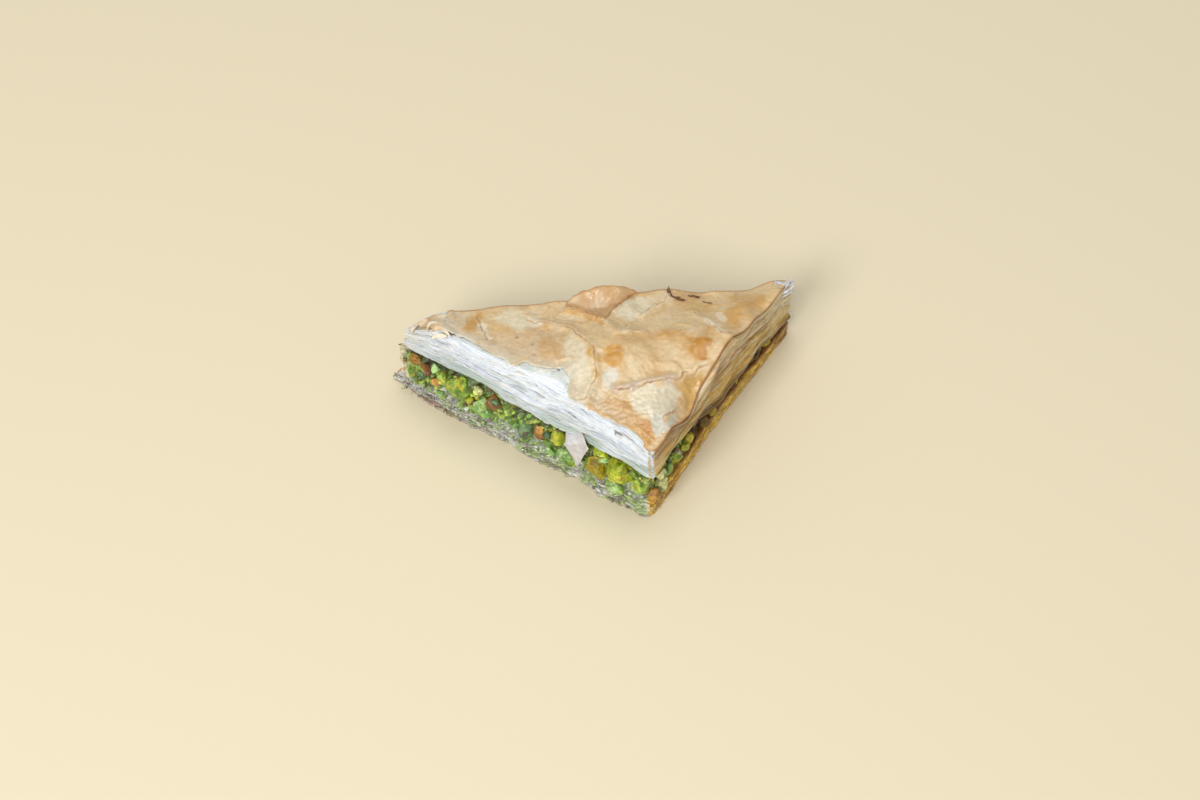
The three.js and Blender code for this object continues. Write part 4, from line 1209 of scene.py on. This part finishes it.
def wrinkled(x, y):
    """Fine folds of a baked leaf, from 0 to 1 on the crest of one."""
    bent_x = x + 1.6 * drift(x, y, 0, 6, 84)
    bent_y = y + 1.6 * drift(x, y, 0, 6, 85)
    broad = 1 - np.abs(drift(bent_x, bent_y, 0, 6.5, 87))
    narrow = 1 - np.abs(drift(bent_y, bent_x, 0, 3.1, 86))
    here = ramp(drift(x, y, 0, 9, 79), -0.4, 0.6)
    return here * np.clip(broad, 0, 1) ** 12, np.clip(narrow, 0, 1) ** 8


def faded(x, y):
    """How far the golden leaf thins out to a pale film towards the tear."""
    away = np.abs(beside(tear, x, y))
    return np.exp(-((away / 3.0) ** 1.3)) * ramp(drift(x, y, 0, 2.6, 89), -1.1, 0.3) * ramp(y, -24, -14)


def baked(x, y):
    """The golden leaf's colour: tan, then its patches, brown cracks with a painted highlight on their
    lips, and a browned cut edge.
    """
    colour = blend(tan_left, tan, ramp(x, -14, 0))
    colour = blend(colour, orange_bake, 0.5 * ramp(drift(x, y, 0, 6, 91), 0.0, 1.0))
    colour = blend(colour, cream_bake, 0.45 * ramp(drift(x, y, 0, 5, 92), 0.25, 1.0))
    wobble = 1.0 * drift(x, y, 0, 2.6, 93) + 0.5 * drift(x, y, 0, 0.9, 90)
    for outline, tone, soft, strength in bake_patches:
        within = inside(curve(outline, 1.2, closed=True), x, y) + wobble
        colour = blend(colour, tone, strength * ramp(within, -soft, soft))
    broad, narrow = wrinkled(x, y)
    colour = blend(colour, amber, 0.45 * broad + 0.22 * narrow)
    colour = blend(colour, peeled, 0.9 * faded(x, y))
    for line in crack_lines:
        away = np.abs(beside(line, x, y) + 0.1)
        faint = 0.4 + 0.6 * ramp(drift(x, y, 0, 2.5, 88), -0.5, 0.6)
        colour = blend(colour, crack_brown, 0.85 * faint * bell(away / 0.2))
        # A painted highlight on the raised lip beside each crack.
        lip = np.abs(beside(line, x, y)) - 0.55
        colour = blend(colour, lip_cream_highlight, 0.45 * faint * bell(lip / 0.25))
    for spot_x, spot_y, radius in dark_specks:
        away = np.hypot(x - spot_x, y - spot_y)
        colour = blend(colour, speck_brown, 0.9 * bell(away / radius))
    rim = np.abs(beside(golden_rest, x, y))
    colour = blend(colour, edge_brown, 0.85 * bell(rim / 0.45))
    return colour * (0.97 + 0.06 * drift(x, y, 0, 0.8, 78))[:, None]


def buttery(x, y):
    """Where the top leaves are still wet: near the square corner and along the tear."""
    corner = ramp(-y, 4, 14) * ramp(drift(x, y, 0, 2.4, 77), -0.6, 0.5)
    return np.maximum(corner, faded(x, y))


bared_white = paint(212, 216, 206)
white_broken = 1.3 * np.maximum(0, drift(*stack_ring.at.T, 0, 5, 98))
white_inset = 0.9 - 0.8 * on_left + on_left * to_corner * (top_terrace + white_broken)
white_edge = curve(stack_ring.at_offset(stack_face(0) - white_inset), 0.45, closed=True)
white_outline = torn(white_edge, 0.25, 1.6, 83)


def white_height(x, y):
    fine = 0.16 * drift(x, y, 0, 3.0, 99) + 0.08 * drift(x, y, 0, 1.0, 100)
    return stack_upper(x, y) - 0.3 + fine


def whitish(x, y):
    """The bared leaf's colour: white, then cream and brown towards the left tip."""
    colour = blend(bared_white, leaf_cream, 0.5 * ramp(drift(x, y, 0, 5, 101), 0, 1))
    colour = blend(colour, leaf_grey, 0.35 * ramp(drift(x, y, 0, 3, 102), 0.3, 0.9))
    colour = blend(colour, cream_bake, ramp(-x, 38, 44))
    colour = blend(colour, tip_tan, 0.85 * ramp(-x, 43, 49) * ramp(drift(x, y, 0, 3, 103), -0.8, 0.4))
    return colour


def golden_height(x, y):
    """Blisters and folds as in the stack under it, with wrinkles, raised lips and curled tears."""
    z = stack_upper(x, y) + 0.15
    z = z + 0.30 * drift(x, y, 0, 8, 94) + 0.14 * drift(x, y, 0, 2.4, 95)
    z = z + (0.05 + 0.1 * ramp(-y, 2, 10)) * drift(x, y * 1.8, 0, 0.9, 96)
    broad, narrow = wrinkled(x, y)
    z = z + 0.35 * broad + 0.12 * narrow
    for line, (_, lip) in zip(crack_lines, cracks):
        away = beside(line, x, y)
        side = away if lip > 0 else -away
        z = z + abs(lip) * ramp(side, -0.1, 0.1) * np.exp(-np.maximum(side, 0) / 1.3)
        z = z - 0.5 * abs(lip) * bell(away / 0.7)
    away = np.abs(beside(tear, x, y))
    lifted = 0.05 + 0.35 * ramp(drift(x, y, 0, 3.5, 97), -0.2, 0.9)
    z = z + lifted * np.exp(-((away / 0.9) ** 1.5))
    return np.maximum(z, white_height(x, y) + 0.2)


golden_phyllo = pastry("golden_phyllo", 0.36, coat=0.4, coat_roughness=0.14, inner=0.2, mottle=0.07,
                       mottle_size=1.2, grain=0.5, grain_size=0.6, grain_depth=0.16)
top_leaf = pastry_piece(
    "golden_leaf",
    *leaf_sheet(
        golden_outline, crack_lines, spacing=0.42, height=golden_height, thickness=top_thickness,
        colour=baked, finish=golden_phyllo, wet=buttery,
    ),
)
belongs_to(top_leaf, "phyllo_top")

white_leaf = pastry_piece(
    "bared_leaf",
    *leaf_sheet(
        white_outline, [], spacing=0.5, height=white_height, thickness=top_thickness,
        colour=whitish, finish=golden_phyllo, wet=buttery,
    ),
)
belongs_to(white_leaf, "phyllo_top")

# ---- Loose leaf ends ----
# Crisp leaves break and lift where they are handled: a clear flap at the back edge, a scrap that
# hangs over the filling, frayed ends at the right tip, and curls and burnt flakes.


def shares(across, along):
    """Shares from 0 to 1 over a grid, across and along a leaf."""
    return np.meshgrid(np.linspace(0, 1, across), np.linspace(0, 1, along))


def bent_leaf(x, y, z, thickness, tint):
    """A thin loose leaf over a grid of points, as a closed mesh."""
    points = np.stack([x, y, z], -1)
    normal = np.cross(np.gradient(points, axis=1), np.gradient(points, axis=0))
    normal /= np.linalg.norm(normal, axis=-1, keepdims=True) + 1e-9
    front = (points + normal * thickness / 2).reshape(-1, 3)
    back = (points - normal * thickness / 2).reshape(-1, 3)
    size = len(front)
    at = np.arange(size).reshape(x.shape)
    quads = np.stack([at[:-1, :-1], at[:-1, 1:], at[1:, 1:], at[1:, :-1]], -1).reshape(-1, 4)
    border = np.concatenate([at[0, :-1], at[:-1, -1], at[-1, :0:-1], at[:0:-1, 0]])
    after = np.roll(border, -1)
    walls = np.stack([border, border + size, after + size, after], 1)
    tint = np.broadcast_to(tint, points.shape).reshape(-1, 3)
    faces = np.vstack([quads, quads[:, ::-1] + size, walls])
    return np.vstack([front, back]), faces, np.tile(tint, (2, 1))


def cloudy(tone, x, y, z):
    """A tone with lighter and darker clouds in it."""
    return tone * (0.92 + 0.12 * drift(x, y, z, 1.2, 111))[..., None]


# Bits of the white leaves have folded down over the cut on the left.
fold_draw = np.random.default_rng(105)
fold_parts = []
folds = 16
for i in range(folds):
    along = 0.05 + 0.9 * (i + fold_draw.random()) / folds
    width = fold_draw.uniform(12, 32)
    top = fold_draw.uniform(0.08, 0.8)
    drop = fold_draw.uniform(0.05, 0.13)
    near = np.where((on_left > 0) & (np.abs(stack_ring.along - along) * left_edge < width / 2))[0]
    a = np.linspace(0, 1, len(near))
    ragged = np.sin(np.pi * np.clip(a, 0.02, 0.98)) ** 0.6 * (0.8 + 0.3 * drift(9 * a, 5 * i, 0, 2, 106))
    grid = []
    for b in np.linspace(0, 1, 9):
        depth = np.full(len(stack_ring.share), top)
        depth[near] = np.clip(top + b * drop * ragged, 0, 0.98)
        terraced = -top_terrace * np.exp(-depth / 0.1)
        wave = 0.12 * np.sin(5 * a + 4 * b + i) + 0.15 * drift(9 * a, 6 * b, 3 * i, 2, 107)
        out = stack_face(depth) + terraced
        out[near] += 0.5 * ramp(b, 0.0, 0.35) - 0.25 + wave
        plan = stack_ring.at_offset(out)[near]
        grid.append(np.c_[plan, (rim_high + (rim_low - rim_high) * depth)[near]])
    x, y, z = np.moveaxis(np.array(grid), -1, 0)
    tone = blend(leaf_white, (leaf_cream, leaf_grey, leaf_white)[i % 3], 0.4)
    fold_parts.append(bent_leaf(x, y, z, thickness=0.14, tint=cloudy(tone, x, y, z)))
folded = pastry_piece("folded_bits", *gather(fold_parts), phyllo, wet=0.4)
belongs_to(folded, "phyllo_top")

pink_leaf = paint(198, 156, 112)
scrap_white = paint(210, 204, 204)
fibre_white = paint(232, 234, 236)
flap_outline = curve(
    ((-8, 26.5), (-7, 28.3), (-3, 29.3), (1, 29.5), (6, 29.5), (10, 29.3), (13, 28.5), (10, 26.5),
     (8, 25), (5.3, 22), (2, 17.8), (0, 19.8), (-2, 21.8), (-4.5, 24)),
    0.4, closed=True,
)
flap_lift = 3.8


def flap_height(x, y):
    lifted = flap_lift * ramp(y, 23.5, 30) * np.clip(np.sin((x + 9.5) / 24.5 * np.pi), 0, 1)
    crumple = 0.16 * drift(x, y, 0, 3.2, 112) + 0.12 * drift(x, y, 0, 1.3, 113)
    return golden_height(x, y) + 0.22 + lifted + crumple * ramp(y, 18, 24)


def flap_colour(x, y):
    colour = blend(pink_leaf, cream_bake, 0.4 * ramp(drift(x, y, 0, 3, 114), 0, 1))
    rim = np.abs(beside(np.vstack([flap_outline, flap_outline[:1]]), x, y))
    return blend(colour, edge_brown, 0.9 * bell(rim / 0.4))


clear_phyllo = pastry("clear_phyllo", 0.4, coat=0.25, coat_roughness=0.2, inner=0.4, mottle=0.06,
                      mottle_size=1.0, grain=0.4, grain_size=0.5, grain_depth=0.12)
flap = pastry_piece(
    "lifted_flap",
    *leaf_sheet(
        torn(flap_outline, 0.25, 1.5, 115), [], spacing=0.4, height=flap_height, thickness=0.14,
        colour=flap_colour, finish=clear_phyllo, wet=lambda x, y: 0.1 * np.ones(len(x)),
    ),
)
belongs_to(flap, "phyllo_top")

left_run = (front_corner - left_tip) / left_edge
left_out = np.array([left_run[1], -left_run[0]])
# The hanging scrap: its share of the way along the left side, its width and how far it hangs down.
scrap_place, scrap_width, scrap_drop = 0.742, 8.6, 11.6


def scrap_surface(a, b):
    """A kite that hangs from the stack's lowest leaves, widest a little above its middle."""
    past = np.clip((b - 0.4) / 0.6, 0, 1)
    spread = (0.6 + 0.4 * ramp(b, 0, 0.4)) * (1 - 0.92 * past)
    edge = 0.3 * drift(4 * b, 9 * np.round(a), 0, 1.2, 116) * np.abs(2 * a - 1) * (1 - past)
    across = (a - 0.5) * scrap_width * spread + edge
    hang = ramp(b, 0, 0.3)
    wave = 0.35 * spread**2 * np.sin(6 * a + 3 * b) + 0.15 * drift(5 * a, 9 * b, 0, 1, 117)
    stand = -1 + 3.6 * hang + wave
    aside = across - 3.4 * (1 - hang)
    root = left_tip + (front_corner - left_tip) * scrap_place
    x = root[0] + left_run[0] * aside + left_out[0] * stand
    y = root[1] + left_run[1] * aside + left_out[1] * stand
    return x, y, filling_upper(x, y) + 1.2 - scrap_drop * b**1.8 + 0.45 * across


scrap_points = scrap_surface(*shares(22, 34))
scrap = pastry_piece(
    "hanging_scrap",
    *bent_leaf(*scrap_points, thickness=0.25, tint=cloudy(scrap_white, *scrap_points)),
    clear_phyllo,
)
belongs_to(scrap, "phyllo_top")

# Four leaves end in a row of strands each at the right tip.
fray_parts = []
fray_draw = np.random.default_rng(121)
fray_root = right_tip + [-5.4, -3.4]
frayed_leaves, strands, strand_pitch = 4, 9, 0.62
shortest, longest = 4.0, 6.3
a, b = shares(4, 14)
for leaf in range(frayed_leaves):
    for strand in range(strands):
        heading = 0.5 + 0.3 * (leaf - 1.5) + fray_draw.normal(0, 0.16)
        aside = (strand - 4) * strand_pitch + fray_draw.normal(0, 0.25)
        strand_width = fray_draw.uniform(0.4, 1.0)
        aside = aside * (1 - 0.4 * b) + (a - 0.5) * strand_width * (1 - 0.75 * b)
        out = fray_draw.uniform(shortest, longest) * b
        x = fray_root[0] + out * math.cos(heading) - aside * math.sin(heading)
        y = fray_root[1] + out * math.sin(heading) + aside * math.cos(heading)
        curl = fray_draw.uniform(0.7, 1.3) * (3.2 - 0.8 * leaf) * b**2.5
        crimp = 0.3 * np.sin(9 * b + 5 * strand + 3 * a) * b
        z = height_of("top", *fray_root) - 1.2 - 2.1 * leaf + curl - 1.6 * b + crimp
        tone = fibre_white * fray_draw.uniform(0.8, 1.0)
        fray_parts.append(bent_leaf(x, y, z, thickness=0.18, tint=cloudy(tone, x, y, z)))
frays = pastry_piece("frayed_ends", *gather(fray_parts), phyllo, wet=0.3)
belongs_to(frays, "phyllo_top")

# Leaf edges curl up in arcs round a browned hollow at the left tip.
tip_arcs = (
    ((-49.7, 21), (-49, 23.3), (-48, 25), (-46.5, 25), (-45, 23), (-44.2, 20.5), (-43, 18)),
    ((-48.4, 21.2), (-47, 22.3), (-45.3, 22), (-44.3, 20)),
    ((-48.2, 19), (-46.5, 19.7), (-44, 18.6)),
    ((-54, 24.5), (-53, 27), (-51, 28.5), (-48.5, 28.5)),
)
arc_parts = []
arc_width = 1.1
arc_cream = paint(238, 222, 194)
for arc in tip_arcs:
    line = curve(arc, 0.35)
    square = -square_to(np.gradient(line, axis=0))
    a, b = shares(5, len(line))
    taper = np.sin(np.pi * np.clip(b, 0.02, 0.98)) ** 0.5
    out = (a - 0.5) * arc_width * taper
    x = line[:, :1] + square[:, :1] * out
    y = line[:, 1:] + square[:, 1:] * out
    z = white_height(x, y) + 0.1 + 0.6 * a**2 * taper
    tone = blend(arc_cream, tip_tan, 0.5 * ramp(drift(x, y, 0, 2, 118), -0.3, 0.8))
    arc_parts.append(bent_leaf(x, y, z, thickness=0.15, tint=tone))
arcs = pastry_piece("tip_curls", *gather(arc_parts), golden_phyllo)
belongs_to(arcs, "phyllo_top")

# Burnt flakes at the back edge: place, heading, length, width and lift of each.
burnt_flakes = (
    (22.5, 29.0, 1.4, 2.8, 1.1, 1.2), (25.0, 26.0, -0.35, 4.0, 0.9, 0.3),
    (30.0, 28.0, -0.1, 3.6, 0.9, 0.2), (33.5, 25.5, -0.5, 3.0, 0.4, 0.2),
    (23.0, 27.0, 1.9, 1.8, 0.7, 0.4),
)
burnt = paint(108, 66, 30)
flake_parts = []
a, b = shares(8, 16)
for at_x, at_y, heading, length, width, lift in burnt_flakes:
    ragged = 1 - 0.85 * np.abs(2 * b - 1) ** 3 + 0.5 * drift(at_x, 9 * b, 4 * np.round(a), 1.5, 119)
    along, across = (b - 0.5) * length, (a - 0.5) * width * ragged
    x = at_x + along * math.cos(heading) - across * math.sin(heading)
    y = at_y + along * math.sin(heading) + across * math.cos(heading)
    z = golden_height(x, y) + 0.12 + lift * b**2 + 0.1 * drift(x, y, 0, 0.8, 120)
    flake_parts.append(bent_leaf(x, y, z, thickness=0.16, tint=cloudy(burnt, x, y, z)))
flakes = pastry_piece("burnt_flakes", *gather(flake_parts), golden_phyllo)
belongs_to(flakes, "phyllo_top")

# ---- Syrup ----
# Sugar syrup has run down through the piece, and stands in clear beads on its wet lower edge.
bead_parts = []
bead_draw = np.random.default_rng(131)
bead_count = 480
smallest_bead, bead_range = 0.22, 0.45
flattened = 0.7
points, faces = balls[2]
bead_tint = np.tile(paint(240, 236, 226), (len(points), 1))
by_corner = (base_ring.side == "right") & (base_ring.along < 0.1)
wet_spots = np.where((base_ring.side == "left") | by_corner)[0]
for _ in range(bead_count):
    spot = wet_spots[bead_draw.integers(len(wet_spots))]
    k = bead_draw.integers(base_leaves)
    size = smallest_bead + bead_range * bead_draw.random() ** 3
    plan = base_ring.at_offset(base_out[k] - 0.15)[spot] + bead_draw.normal(0, 0.15, 2)
    level = max(base_face(k, plan[None], 0.9)[0], flattened * size)
    shape = points * bead_draw.uniform(0.7, 1.2, 3) * [size, size, flattened * size]
    bead_parts.append((shape + [*plan, level], faces, bead_tint))
beads = pastry_piece(
    "syrup_beads", *gather(bead_parts),
    pastry("syrup", 0.06, inner=0.0, mottle=0.02, grain=0.0, clear=0.9),
)
belongs_to(beads, "phyllo_base")

# ---- Floor and light ----
# A plain pale table, a broad cool window to the left of the viewer, and soft light all round.
half = 3.0
floor_corners = [(-half, -half, 0), (half, -half, 0), (half, half, 0), (-half, half, 0)]
floor_mesh = bpy.data.meshes.new("floor")
floor_mesh.from_pydata(floor_corners, [], [(0, 1, 2, 3)])
floor = bpy.data.objects.new("floor", floor_mesh)
scene.collection.objects.link(floor)
floor_finish = bpy.data.materials.new("pale_table")
floor_finish.use_nodes = True
floor_shader = floor_finish.node_tree.nodes["Principled BSDF"]
floor_shader.inputs["Base Color"].default_value = (*paint(224, 212, 182), 1)
floor_shader.inputs["Roughness"].default_value = 0.6
floor_mesh.materials.append(floor_finish)


def panel(name, place, width, power, colour):
    """A square soft light that faces the piece."""
    lamp = bpy.data.lights.new(name, "AREA")
    lamp.size = width
    lamp.energy = power
    lamp.color = colour
    made = bpy.data.objects.new(name, lamp)
    made.location = place
    made.rotation_euler = (-Vector(place)).to_track_quat("-Z", "Y").to_euler()
    scene.collection.objects.link(made)


panel("window", (-0.7, -0.85, 0.95), 0.5, 13.0, (0.97, 0.98, 1.0))
panel("lamp", (-0.25, -0.75, 1.2), 0.1, 2.2, (1.0, 1.0, 1.0))
panel("overhead", (0.15, 0.35, 1.5), 0.8, 5.5, (1.0, 0.98, 0.95))
room = bpy.data.worlds.new("room")
room.use_nodes = True
room.node_tree.nodes["Background"].inputs["Color"].default_value = (1.0, 0.99, 0.97, 1)
room.node_tree.nodes["Background"].inputs["Strength"].default_value = 0.46
scene.world = room
scene.view_settings.view_transform = "Standard"
